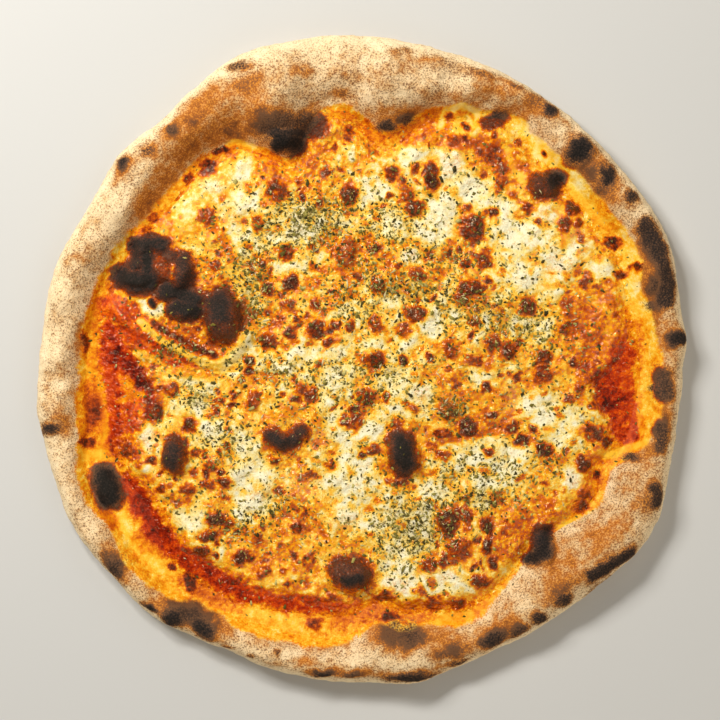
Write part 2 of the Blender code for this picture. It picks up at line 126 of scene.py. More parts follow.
BUBBLES = (  # x, y, half length, half width, turn, height
    (-68.7, 21.1, 14.0, 10.4, 90, 11.0), (20.1, -45.6, 12.0, 8.8, 110, 8.0),
    (-6.4, -105.5, 11.6, 9.4, 0, 8.0), (-92.8, -47.1, 9.6, 7.2, 90, 7.0),
    (-40.2, -39.3, 6.8, 6.2, 0, 5.0), (-30.0, -35.3, 4.8, 4.4, 0, 4.0),
    (-111.0, 40.2, 10.6, 5.2, 0, 6.0), (-108.5, 58.0, 9.0, 4.8, 85, 5.0),
    (-98.6, 45.0, 7.0, 7.0, 0, 6.0), (-89.3, 43.0, 10.0, 6.6, 75, 7.0),
    (-87.9, 25.5, 9.8, 6.0, 0, 5.0), (88.8, -91.8, 9.0, 6.6, 90, 6.5),
    (89.8, 87.9, 8.4, 7.6, 0, 6.0), (106.5, 104.0, 9.8, 8.4, 60, 4.0),
    (-36.3, 108.0, 14.0, 6.0, 0, 3.5), (-125.6, -62.3, 12.0, 7.0, 120, 4.0),
    (121.0, -98.0, 12.0, 5.0, 35, 3.5), (-15.0, 120.0, 16.0, 9.0, 10, 3.0),
    (-88.0, 112.0, 17.0, 10.0, 40, 3.0), (40.0, 128.0, 15.0, 9.0, -10, 3.0),
)
FOLD_LINE = ((-124, 27), (-103, 11), (-88, 5), (-72, -1), (-64, 3), (-56, 13))
FOLD_HEIGHT, FOLD_HALF_WIDTH = 3.2, 3.4
LATTICE_CELLS, LATTICE_START = 256, (1280.37, 1280.61)
SPOT_REACH = 2.4


def smooth_step(share):
    """From 0 to 1 with level ends: three squares less two cubes."""
    share = np.clip(share, 0.0, 1.0)
    return share * share * (3 - 2 * share)


def soft_noise(x, y, cell, seed):
    """Uneven heights from -1 to 1: random values on a square lattice, eased between its points."""
    lattice = np.random.default_rng(seed).uniform(-1, 1, (LATTICE_CELLS + 1, LATTICE_CELLS + 1))
    u, v = x / cell + LATTICE_START[0], y / cell + LATTICE_START[1]
    i, j = np.floor(u).astype(int), np.floor(v).astype(int)
    a, b = smooth_step(u - i), smooth_step(v - j)
    i, j = i % LATTICE_CELLS, j % LATTICE_CELLS
    low = lattice[i, j] * (1 - a) + lattice[i + 1, j] * a
    high = lattice[i, j + 1] * (1 - a) + lattice[i + 1, j + 1] * a
    return low * (1 - b) + high * b


def layered_noise(x, y, cell, seed, layers=3):
    """Soft noise with finer and weaker copies of itself on top, each half the cell and strength."""
    total = sum(soft_noise(x, y, cell / 2**k, seed + k) / 2**k for k in range(layers))
    return total / (2 - 0.5 ** (layers - 1))


def swelling(direction, swells):
    """The sum of bell-shaped swells, each at its own direction."""
    off = [((direction - centre + 180) % 360 - 180) / spread for centre, spread, _ in swells]
    return sum(row[2] * np.exp(-(gap**2)) for row, gap in zip(swells, off))


def edge_lobes(direction):
    """The wavering of the toppings' edges: sines round the pizza, added up."""
    turn = np.radians(direction)
    return sum(size * np.sin(lobes * turn + phase) for lobes, size, phase in EDGE_LOBES)


def outer_radius(direction):
    """How far out the rim reaches, seen from above."""
    return PIZZA_RADIUS + swelling(direction, OUTLINE_SWELLS)


def rim_inner_radius(direction):
    """Where the rim begins to rise from the base."""
    return RIM_INNER_RADIUS + swelling(direction, RIM_INNER_SWELLS)


def sauce_radius(direction):
    """Where the sauce ends: a band of bare dough inside the rim's foot."""
    band = DOUGH_BAND + swelling(direction, DOUGH_BAND_SWELLS)
    return rim_inner_radius(direction) - band + 0.6 * edge_lobes(direction)


def rim_width(direction):
    """The rim's width, from its inner edge to its outline."""
    return outer_radius(direction) - rim_inner_radius(direction)


def crest_radius(direction):
    """The rim's highest line: a share of its width in from the outline."""
    inset = np.maximum(LEAST_CREST_INSET, CREST_FROM_OUTSIDE * rim_width(direction))
    return outer_radius(direction) - inset


def polar(x, y):
    """The direction of a place in degrees, and its distance from the middle."""
    return np.degrees(np.arctan2(y, x)), np.hypot(x, y)


def swell_of_base(x, y):
    """Slow unevenness of the stretched dough: three crossing waves."""
    return (
        0.7 * np.sin(0.041 * x + 0.023 * y + 0.6)
        + 0.6 * np.sin(-0.028 * x + 0.052 * y + 2.0)
        + 0.4 * np.sin(0.083 * x - 0.061 * y + 4.1)
    )


def rim_lumps(x, y):
    """Dents and swells of the rim: a product of crossing waves, with a finer wave added."""
    lumps = np.sin(0.19 * x + 0.06 * y + 0.4) * np.sin(0.16 * y - 0.07 * x + 1.3)
    return 1.1 * lumps + 0.5 * np.sin(0.27 * x - 0.23 * y + 5.0)


def bubble_lift(x, y):
    """The highest of the dough bubbles at each place: steep-sided domes."""
    lift = np.zeros_like(x)
    for bx, by, half_length, half_width, turn, height in BUBBLES:
        cosine, sine = np.cos(np.radians(turn)), np.sin(np.radians(turn))
        along = ((x - bx) * cosine + (y - by) * sine) / half_length
        across = ((y - by) * cosine - (x - bx) * sine) / half_width
        lift = np.maximum(lift, height * np.clip(1 - along**2 - across**2, 0, 1) ** 0.8)
    return lift


def distance_to_line(x, y, line):
    """The distance from each place to the nearest point of a line of straight stretches."""
    nearest = np.full_like(x, 1e9)
    for (ax, ay), (bx, by) in zip(line, line[1:]):
        length = (bx - ax) ** 2 + (by - ay) ** 2
        share = np.clip(((x - ax) * (bx - ax) + (y - ay) * (by - ay)) / length, 0, 1)
        nearest = np.minimum(nearest, np.hypot(x - ax - share * (bx - ax), y - ay - share * (by - ay)))
    return nearest


def rim_climb(x, y):
    """0 on the flat base, rising along a quarter of a sine to 1 at the rim's crest."""
    direction, radius = polar(x, y)
    inner = rim_inner_radius(direction)
    climb = np.clip((radius - inner + RIM_FOOT) / (crest_radius(direction) - inner + RIM_FOOT), 0, 1)
    return np.sin(np.pi / 2 * climb) ** 1.15


def dough_height(x, y):
    """The top of the dough: base, lip, rim, bubbles and fold, added up."""
    direction, radius = polar(x, y)
    inner, foot = rim_inner_radius(direction), sauce_radius(direction) - LIP_FOOT
    climb = rim_climb(x, y)
    rise = RIM_LEAST_HEIGHT + RIM_HEIGHT_PER_WIDTH * rim_width(direction) - BASE_THICKNESS - RIM_LIP
    fold = FOLD_HEIGHT * np.exp(-((distance_to_line(x, y, FOLD_LINE) / FOLD_HALF_WIDTH) ** 2))
    lip = RIM_LIP * smooth_step((radius - foot) / (inner - foot))
    height = BASE_THICKNESS + swell_of_base(x, y) + lip + (rise + rim_lumps(x, y)) * climb
    return height + bubble_lift(x, y) + fold * (1 - climb)


def photo_place(x, y):
    """A place in millimetres as a pixel of the photograph, and an uneven shift to add to it."""
    shift_x = 2.4 * soft_noise(x, y, 4.5, 901) + 1.5 * soft_noise(x, y, 2.0, 902)
    shift_y = 2.4 * soft_noise(x, y, 4.5, 903) + 1.5 * soft_noise(x, y, 2.0, 904)
    return x / MM_PER_PIXEL + PIZZA_IN_PHOTO[0], PIZZA_IN_PHOTO[1] - y / MM_PER_PIXEL, shift_x, shift_y


def spots(x, y, rows, curve):
    """The strongest of many spots at each place.

    A row is a spot's middle in the photograph's pixels, its half width and half height there, its
    turn and its strength. The curve gives the level over the distance from the middle, in half
    sizes. A row without its last numbers is unturned and at full strength.
    """
    px, py, shift_x, shift_y = photo_place(x, y)
    px, py = px + shift_x, py + shift_y
    found = np.zeros_like(x)
    for cx, cy, half_width, half_height, *rest in rows:
        turn, strength = (*rest, *(0.0, 1.0)[len(rest):])
        reach = SPOT_REACH * max(half_width, half_height)
        near = (np.abs(px - cx) < reach) & (np.abs(py - cy) < reach)
        dx, dy = px[near] - cx, cy - py[near]
        cosine, sine = np.cos(np.radians(turn)), np.sin(np.radians(turn))
        away = np.hypot((dx * cosine + dy * sine) / half_width, (dy * cosine - dx * sine) / half_height)
        found[near] = np.maximum(found[near], strength * np.interp(away, *curve))
    return found


def brushed(place, half_width, line, curve):
    """A soft stroke along a line of the photograph's pixels.

    The curve gives its level over the distance from the line, in half widths.
    """
    px, py, shift_x, shift_y = place
    waver, reach, ends = min(1.0, half_width / 9), 2 * half_width + 4, np.array(line)
    near = (px > ends[:, 0].min() - reach) & (px < ends[:, 0].max() + reach)
    near &= (py > ends[:, 1].min() - reach) & (py < ends[:, 1].max() + reach)
    level = np.zeros_like(px)
    px, py = px[near] + waver * shift_x[near], py[near] + waver * shift_y[near]
    level[near] = np.interp(distance_to_line(px, py, line) / half_width, *curve)
    return level


# Curves of a level over the distance from a middle: the distances, then the levels.
SOFT_EDGE = ((0.0, 0.55, 1.0, 1.45), (1.0, 1.0, 0.5, 0.0))
SMOKY_EDGE = ((0.0, 0.5, 0.85, 1.15, 1.9), (1.0, 0.94, 0.66, 0.38, 0.0))

# How far the oven and the oil have taken each stretch of the face; two marked rows paint shade
# instead. A row is how cooked it is, from 0 for cream to 1 for black-brown, how red, how strongly
# it shows, its half width, and its line.
OVEN_AND_SHADE_STROKES = (
    # Along the left: the oil's edge, the bare sauce and the fold below the burst bubble.
    (0.38, 0.0, 1.0, 7, ((93, 300), (90, 345), (92, 380))),
    (0.58, 0.9, 1.0, 17, ((113, 306), (116, 345))),
    (0.74, 0.9, 0.7, 3, ((104, 322), (112, 340), (110, 352))),
    (0.7, 0.9, 0.6, 2.5, ((124, 312), (130, 330), (140, 344))),
    (0.6, 0.9, 1.0, 12, ((128, 314), (152, 338), (178, 354))),
    (0.5, 0.6, 0.8, 8, ((172, 352), (192, 360))),
    (0.42, 0.8, 0.7, 2.5, ((107, 302), (120, 316), (140, 332))),
    (0.7, 1.0, 1.0, 11, ((108, 352), (113, 400), (110, 432))),
    (0.6, 0.9, 0.9, 5, ((106, 365), (109, 400), (107, 425))),
    (0.42, 0.6, 0.8, 3, ((118, 365), (121, 385), (126, 402))),
    (0.84, 0.9, 1.0, 8, ((118, 353), (136, 370), (146, 392), (150, 412))),
    (0.62, 0.8, 0.9, 9, ((133, 398), (130, 425))),
    (0.4, 0.1, 0.8, 3.5, ((141, 392), (128, 395), (118, 400))),
    (0.38, 0.2, 1.0, 4, ((100, 385), (104, 430), (99, 450))),
    (0.54, 0.2, 0.9, 10, ((88, 388), (92, 410), (88, 436))),
    (0.8, 0.2, 0.95, 8, ((91, 402), (92, 414))),
    (0.3, 0.0, 1.0, 5, ((84, 452), (98, 452), (108, 458))),
    (0.66, 0.6, 0.9, 12, ((115, 446), (132, 450))),
    # Along the lower left: the orange oil and the crescent of sauce.
    (
        0.36, 0.0, 1.0, 12,
        ((98, 514), (122, 532), (148, 560), (180, 578), (205, 594), (250, 612), (300, 622)),
    ),
    (0.24, 0.0, 0.9, 6, ((118, 515), (128, 540), (160, 566), (180, 572))),
    (0.56, 0.1, 0.8, 5, ((100, 500), (112, 524))),
    (0.6, 0.1, 0.85, 7, ((182, 578), (196, 586))),
    (0.5, 0.1, 0.8, 6, ((136, 533), (146, 546), (158, 552))),
    (0.52, 0.1, 0.9, 7, ((200, 590), (225, 602))),
    (
        0.7, 1.0, 1.0, 10,
        ((127, 482), (141, 508), (152, 530), (172, 549), (197, 564), (222, 582), (248, 595)),
    ),
    (0.63, 1.0, 0.9, 9, ((248, 592), (285, 602), (330, 606), (365, 610))),
    (0.84, 0.9, 0.8, 5, ((138, 492), (147, 515), (160, 532))),
    (0.45, 0.1, 0.9, 6, ((340, 616), (380, 606), (420, 604))),
    (0.26, 0.0, 0.9, 6, ((250, 612), (300, 626), (330, 622))),
    (0.55, 0.3, 0.8, 8, ((335, 620), (380, 612), (420, 612))),
    # Along the right: the oil, the stained cheese and the bare sauce.
    (0.2, 0.0, 1.0, 10, ((606, 225), (628, 250), (634, 270), (631, 296), (642, 312))),
    (0.42, 0.0, 0.9, 8, ((588, 200), (600, 215), (612, 232))),
    (0.45, 0.2, 1.0, 13, ((590, 290), (616, 305), (622, 328), (642, 334))),
    (0.58, 0.45, 1.0, 12, ((588, 312), (592, 345), (584, 372))),
    (0.36, 0.0, 1.0, 3, ((590, 298), (610, 312), (612, 334), (604, 352))),
    (0.7, 0.3, 0.9, 6, ((566, 300), (572, 322), (570, 345))),
    (0.46, 0.2, 0.8, 9, ((560, 325), (565, 345))),
    (0.28, 0.0, 1.0, 9, ((652, 318), (656, 345), (652, 370), (647, 400), (647, 428))),
    (0.66, 1.0, 1.0, 15, ((622, 352), (620, 385), (624, 415), (630, 436))),
    (0.54, 0.9, 0.9, 7, ((627, 362), (630, 385))),
    (0.54, 0.9, 0.7, 5, ((634, 405), (632, 430))),
    (0.36, 0.1, 0.9, 2.5, ((636, 365), (641, 395), (642, 432))),
    (0.78, 0.8, 0.9, 9, ((601, 376), (606, 402))),
    (0.38, 0.0, 0.9, 9, ((560, 366), (584, 394))),
    (0.55, 0.2, 0.8, 7, ((600, 440), (618, 446), (605, 456))),
    (0.3, 0.0, 1.0, 5, ((600, 456), (622, 450), (648, 441))),
    (0.48, 0.1, 0.9, 8, ((596, 474), (590, 492), (598, 462))),
    # Along the lower right and the bottom.
    (0.5, 0.5, 0.9, 16, ((545, 508), (520, 525), (505, 545))),
    (0.46, 0.2, 0.9, 8, ((560, 520), (580, 512))),
    (0.3, 0.0, 1.0, 5, ((585, 528), (560, 528), (600, 512))),
    (0.36, 0.0, 0.9, 5, ((440, 622), (480, 612), (510, 592), (528, 575))),
    (0.3, 0.0, 0.9, 3.5, ((505, 592), (530, 572))),
    # Along the top.
    (0.5, 0.4, 0.9, 11, ((346, 118), (366, 126), (400, 132), (428, 130))),
    (0.5, 0.0, 0.95, 9, ((430, 118), (452, 114), (474, 116))),
    (0.46, 0.0, 0.9, 10, ((440, 132), (470, 138), (500, 148))),
    (0.62, 0.0, 0.9, 5, ((452, 142), (478, 140), (490, 150), (496, 142))),
    (0.3, 0.0, 1.0, 9, ((505, 128), (530, 138), (556, 158))),
    (0.17, 0.0, 0.95, 9, ((520, 126), (548, 136), (566, 158), (584, 186))),
    (0.3, 0.0, 1.0, 4, ((508, 148), (514, 166), (524, 178))),
    (0.2, 0.0, 1.0, 3.4, ((440, 124), (446, 109), (462, 103), (476, 108), (481, 122), (474, 132))),
    (0.8, 0.0, 0.9, 8, ((494, 152), (502, 166))),
    (0.28, 0.0, 0.9, 6, ((560, 165), (575, 190), (600, 215))),
    (0.22, 0.0, 0.9, 3.5, ((188, 163), (198, 152), (215, 144), (240, 138), (262, 143))),
    (0.46, 0.0, 0.9, 8, ((196, 162), (212, 152), (236, 148))),
    (0.44, 0.0, 0.9, 12, ((262, 160), (290, 165), (318, 172))),
    (0.4, 0.0, 0.9, 10, ((310, 150), (336, 122))),
    (0.42, 0.0, 0.8, 8, ((140, 228), (152, 204), (165, 182), (182, 168))),
    # Around the burst bubble and the blistered one beside it.
    (0.46, 0.1, 0.9, 8, ((160, 215), (176, 236))),
    (0.26, 0.0, 1.0, 11, ((188, 226), (204, 240), (212, 252))),
    (0.54, 0.3, 1.0, 6, ((206, 216), (222, 236), (232, 256))),
    (0.42, 0.0, 1.0, 9, ((202, 264), (214, 284))),
    (0.26, 0.0, 1.0, 7, ((228, 262), (236, 280), (238, 300))),
    (0.32, 0.0, 1.0, 3.5, ((116, 290), (134, 294), (152, 291))),
    (0.02, 0.0, 1.0, 7.5, ((146, 303), (160, 311))),
    (0.6, 0.0, 1.0, 8, ((159, 254), (162, 284))),
    (0.62, 0.0, 1.0, 3, ((160, 262), (164, 272))),
    (0.6, 0.0, 0.95, 8, ((168, 324), (198, 340))),
    (0.3, 0.0, 0.9, 4, ((154, 320), (164, 330))),
    (0.5, 0.2, 0.9, 8, ((206, 348), (226, 350))),
    # Painted shadow: a dark brown line along the upper side of the fold's ridge, where the ridge shades
    # the cheese.
    (0.86, 0.1, 1.0, 3.4, ((152, 321), (168, 332), (184, 339), (198, 348), (214, 354))),
    (
        0.22, 0.0, 1.0, 3.8,
        (
            (140, 320), (150, 329), (160, 339), (174, 346),
            (186, 353), (206, 364), (220, 361), (234, 351),
        ),
    ),
    (0.3, 0.0, 1.0, 3.5, ((228, 354), (240, 342), (242, 334))),
    (0.64, 0.9, 0.95, 6.5, ((130, 334), (150, 346), (168, 357), (194, 371))),
    (0.42, 0.8, 0.8, 2, ((140, 338), (158, 352), (176, 360))),
    # Painted shadow: a dark brown band to the right of the burst bubble, where the bubble shades the
    # cheese.
    (0.72, 0.1, 0.9, 4, ((243, 298), (247, 318))),
    (0.13, 0.0, 1.0, 5.5, ((222, 368), (234, 354), (241, 346))),
    (0.1, 0.0, 1.0, 10, ((184, 374), (198, 380))),
    (0.4, 0.0, 0.8, 6, ((168, 370), (215, 374), (232, 384))),
    # Folds, rings and dark seams of the cheese, and the yellow oil round its burnt blisters.
    (0.26, 0.0, 0.85, 21, ((176, 432), (182, 462))),
    (0.28, 0.0, 0.85, 18, ((272, 424), (306, 420))),
    (0.3, 0.0, 0.8, 17, ((322, 556), (346, 548), (362, 560))),
    (0.6, 0.0, 0.9, 3, ((440, 441), (456, 438), (470, 434), (500, 430))),
    (0.38, 0.0, 0.9, 9, ((462, 412), (478, 396), (500, 396), (500, 412))),
    (0.6, 0.0, 0.9, 3, ((316, 520), (330, 545))),
    (0.28, 0.0, 0.9, 8, ((318, 548), (345, 552), (368, 562))),
    (0.34, 0.0, 0.9, 10, ((290, 530), (312, 545), (300, 562))),
    (0.36, 0.0, 0.9, 7, ((262, 425), (276, 412), (300, 408), (318, 420), (320, 440))),
    (0.58, 0.1, 0.9, 6, ((268, 446), (290, 448))),
    (
        0.3, 0.0, 0.9, 3.5,
        ((226, 556), (232, 546), (246, 544), (254, 556), (246, 568), (232, 568), (226, 556)),
    ),
    (0.24, 0.0, 1.0, 2.8, ((456, 128), (458, 116), (468, 114), (474, 122), (468, 130), (456, 128))),
    (0.18, 0.0, 1.0, 3.2, ((536, 150), (540, 142), (550, 142), (554, 150), (546, 157), (538, 154))),
    (0.4, 0.0, 0.8, 7, ((395, 470), (380, 460), (385, 440), (395, 425), (412, 430), (422, 450))),
    (0.3, 0.0, 0.8, 6, ((560, 205), (575, 225), (566, 240))),
    (0.42, 0.0, 0.8, 8, ((330, 230), (362, 240), (366, 262), (345, 275), (328, 262))),
    (0.1, 0.0, 0.9, 8, ((204, 500), (186, 518), (182, 512))),
    (0.32, 0.0, 0.9, 7, ((205, 502), (226, 506))),
    (0.2, 0.0, 0.8, 9, ((186, 408), (176, 432), (196, 440))),
    (0.46, 0.0, 0.8, 4, ((184, 416), (196, 422))),
)

# Charred bubbles and patches as strokes: strength, half width and line.
CHAR_STROKES = (
    (0.88, 7, ((134, 243), (150, 240), (162, 244))),
    (0.31, 8, ((155, 262), (164, 264), (161, 280))), (1.0, 6, ((147, 244), (146, 268))),
    (0.8, 8, ((138, 248), (134, 262))), (1.0, 11, ((124, 276), (135, 279), (147, 279))),
    (0.74, 9, ((181, 258), (186, 272), (183, 290))), (0.56, 8, ((158, 246), (172, 254))),
    (0.95, 9, ((166, 290), (184, 292), (196, 298))), (1.0, 9, ((176, 307), (193, 308))),
    (0.95, 3, ((150, 300), (152, 303))), (0.9, 13.5, ((218, 302), (220, 311))),
    (0.54, 14.5, ((219, 318), (222, 329))), (0.42, 5, ((237, 303), (239, 325))),
    (1.0, 10.5, ((400, 442), (405, 462))), (0.5, 16, ((343, 570), (357, 572))),
    (0.9, 7, ((346, 578), (358, 577))), (0.84, 8, ((174, 448), (170, 462))),
    (0.42, 12, ((176, 444), (174, 462))), (0.82, 7, ((272, 436), (282, 443), (292, 440))),
    (0.7, 5.5, ((292, 438), (302, 430))), (0.38, 11, ((274, 436), (284, 442), (300, 432))),
    (1.0, 11.5, ((103, 477), (109, 495))), (0.95, 12, ((580, 146), (578, 151))),
    (0.92, 8, ((553, 180), (558, 177))), (0.5, 13, ((540, 184), (550, 184))),
    (0.9, 9, ((545, 534), (543, 550))), (0.42, 9, ((489, 120), (500, 115))),
    (0.85, 7, ((532, 558), (545, 550))), (0.75, 10, ((646, 226), (652, 240), (658, 252))),
    (0.72, 9, ((660, 258), (667, 280), (664, 298))), (0.85, 7, ((672, 338), (682, 338))),
    (0.55, 14, ((270, 128), (290, 124), (312, 122))), (0.95, 9, ((280, 140), (296, 142))),
    (0.8, 6, ((274, 133), (302, 133))), (0.7, 8, ((655, 488), (656, 502))),
    (0.78, 8, ((592, 574), (612, 562), (630, 552))), (0.6, 9, ((663, 374), (664, 392))),
    (0.6, 7, ((661, 426), (660, 444))),
)

# Blisters: middle, full width and full height in the photograph's pixels. Their two curves give
# how cooked they are and how high they stand, over the distance from the middle in half sizes.
BLISTERS = (
    (220, 148, 18, 8), (206, 165, 16, 16), (187, 174, 10, 10), (205, 215, 16, 16),
    (257, 222, 13, 18), (275, 188, 18, 26), (286, 250, 16, 16), (152, 215, 12, 12),
    (146, 228, 12, 12), (290, 281, 16, 16), (266, 287, 13, 13), (289, 303, 12, 12),
    (315, 303, 12, 12), (316, 327, 16, 16), (290, 331, 12, 12), (327, 341, 10, 10),
    (266, 339, 18, 20), (336, 324, 8, 8), (349, 325, 11, 11), (346, 251, 20, 30),
    (376, 246, 10, 10), (349, 128, 12, 12), (392, 172, 16, 16), (405, 192, 15, 15),
    (413, 206, 18, 16), (432, 174, 14, 30), (414, 167, 8, 8), (349, 192, 16, 22),
    (472, 226, 24, 26), (468, 205, 8, 8), (493, 209, 10, 8), (452, 137, 10, 10), (465, 136, 8, 8),
    (482, 151, 8, 14), (494, 133, 8, 8), (519, 139, 8, 8), (466, 122, 10, 8), (501, 181, 12, 12),
    (514, 193, 10, 10), (528, 205, 8, 14), (485, 258, 16, 16), (466, 261, 10, 10),
    (417, 271, 20, 14), (379, 285, 18, 16), (469, 285, 22, 18), (461, 298, 18, 14),
    (415, 311, 20, 16), (376, 321, 14, 16), (403, 328, 14, 14), (475, 320, 14, 10),
    (446, 344, 10, 10), (374, 358, 20, 14), (493, 343, 16, 16), (546, 150, 6, 6), (538, 220, 6, 6),
    (573, 206, 14, 14), (564, 221, 12, 16), (578, 223, 10, 10), (582, 236, 10, 10),
    (613, 241, 18, 12), (636, 266, 14, 8), (622, 273, 14, 10), (587, 279, 10, 18),
    (527, 304, 18, 16), (565, 326, 10, 18), (508, 350, 18, 20), (545, 355, 16, 14),
    (542, 373, 20, 18), (575, 362, 8, 14), (580, 385, 14, 14), (569, 397, 10, 10), (535, 428, 8, 8),
    (596, 431, 20, 18), (608, 441, 10, 10), (512, 427, 12, 12), (522, 440, 12, 12),
    (544, 449, 18, 14), (584, 463, 12, 16), (599, 474, 8, 8), (585, 493, 11, 11),
    (583, 505, 16, 14), (403, 358, 10, 10), (451, 351, 14, 12), (477, 358, 14, 10),
    (365, 396, 17, 17), (355, 408, 10, 10), (352, 420, 18, 14), (384, 396, 8, 8),
    (414, 406, 10, 10), (396, 422, 12, 12), (372, 449, 12, 10), (362, 453, 8, 8),
    (486, 385, 10, 10), (448, 432, 12, 10), (467, 426, 18, 20), (448, 409, 18, 22),
    (491, 415, 11, 8), (444, 454, 14, 10), (490, 450, 10, 8), (393, 482, 14, 10), (405, 482, 10, 8),
    (249, 360, 12, 10), (251, 398, 14, 22), (218, 400, 10, 10), (300, 388, 14, 14),
    (310, 395, 14, 14), (295, 399, 12, 8), (210, 465, 14, 10), (220, 471, 8, 8), (210, 482, 12, 10),
    (224, 482, 13, 12), (331, 465, 10, 8), (276, 459, 18, 6), (309, 474, 10, 8), (169, 389, 18, 14),
    (188, 422, 14, 12), (155, 410, 14, 16), (149, 458, 10, 8), (124, 449, 18, 16),
    (194, 453, 10, 8), (161, 488, 12, 10), (188, 488, 18, 14), (215, 518, 20, 14),
    (228, 522, 14, 10), (209, 535, 20, 12), (238, 557, 14, 14), (250, 556, 10, 10),
    (201, 551, 16, 10), (296, 525, 12, 14), (263, 571, 14, 12), (283, 570, 10, 8), (309, 556, 8, 8),
    (331, 598, 16, 8), (383, 596, 22, 12), (417, 590, 10, 8), (434, 604, 18, 14),
    (458, 604, 20, 12), (447, 523, 22, 26), (464, 514, 18, 14), (459, 548, 26, 22),
    (428, 564, 18, 14), (445, 559, 12, 10), (487, 525, 12, 12), (485, 547, 10, 16),
    (494, 564, 10, 14), (481, 581, 20, 10), (213, 265, 12, 10), (189, 582, 14, 20),
    (313, 623, 18, 12), (390, 617, 20, 8), (83, 340, 8, 24), (86, 441, 16, 8), (170, 566, 9, 6),
    (449, 114, 8, 8),
)
BLISTER_COOK = ((0.0, 0.65, 0.92, 1.12, 1.4, 1.9), (0.84, 0.82, 0.7, 0.44, 0.28, 0.0))
BLISTER_DOME = ((0.0, 0.3, 0.6, 0.85, 1.05, 1.3), (1.0, 0.93, 0.7, 0.36, 0.08, 0.0))
BLISTER_HEIGHT_PER_WIDTH, CHAR_HEIGHT, NARROW = 0.25, 3.2, 5.0
BLISTER_SHADES, FACE_MOTTLE, FACE_MOTTLE_CELL = (0.82, 1.12), 0.13, 3.6


def char_level(place):
    """How charred each place is, from 0 to 1: the strongest of the char strokes."""
    found = np.zeros_like(place[0])
    for strength, half_width, line in CHAR_STROKES:
        found = np.maximum(found, strength * brushed(place, half_width, line, SMOKY_EDGE))
    return found


def char_rise(x, y):
    """Char swells up where no bubble does, so a burst bubble's lobes hang together."""
    char = smooth_step(char_level(photo_place(x, y)))
    return np.maximum(0.0, CHAR_HEIGHT * char - bubble_lift(x, y))


def oven_marks(x, y, cook_and_shade, red, more=()):
    """The masks of a face after every stroke and blister.

    They are how cooked and how red it is, with painted shade from two strokes in the cooked level,
    how charred, and how calm. Calm is 1 on a narrow stroke, where the grain and the small
    blisters are held back so that the stroke reads.
    """
    place, calm = photo_place(x, y), np.zeros_like(x)
    for target, redness, strength, half_width, line in OVEN_AND_SHADE_STROKES:
        level = strength * brushed(place, half_width, line, SOFT_EDGE)
        cook_and_shade, red = cook_and_shade + (target - cook_and_shade) * level, red + (redness - red) * level
        calm = np.maximum(calm, level * min(1.0, NARROW / half_width) ** 2)
    cook_and_shade = cook_and_shade + FACE_MOTTLE * layered_noise(x, y, FACE_MOTTLE_CELL, 61)
    shades = np.random.default_rng(5).uniform(*BLISTER_SHADES, len(BLISTERS))
    rows = [(bx, by, w / 2, h / 2, 0, shade) for (bx, by, w, h), shade in zip(BLISTERS, shades)]
    small = spots(x, y, more, BLISTER_COOK) * (1 - 0.8 * calm)
    blistered = np.maximum(spots(x, y, rows, BLISTER_COOK), small)
    cook_and_shade, red = np.maximum(cook_and_shade, blistered), red * (1 - smooth_step((blistered - 0.4) / 0.3))
    char = char_level(place)
    cook_and_shade = np.maximum(cook_and_shade, 0.9 * smooth_step(char / 0.4))
    calm = calm * (1 - smooth_step(blistered / 0.4))
    return {"cook_and_shade": cook_and_shade, "red": red, "char": char, "calm": calm}


def blister_domes(x, y):
    """Low domes over the blisters, a quarter as high as they are wide."""
    share = MM_PER_PIXEL * BLISTER_HEIGHT_PER_WIDTH
    rows = [(bx, by, w / 2, h / 2, 0, (w + h) / 2 * share) for bx, by, w, h in BLISTERS]
    return spots(x, y, rows, BLISTER_DOME)


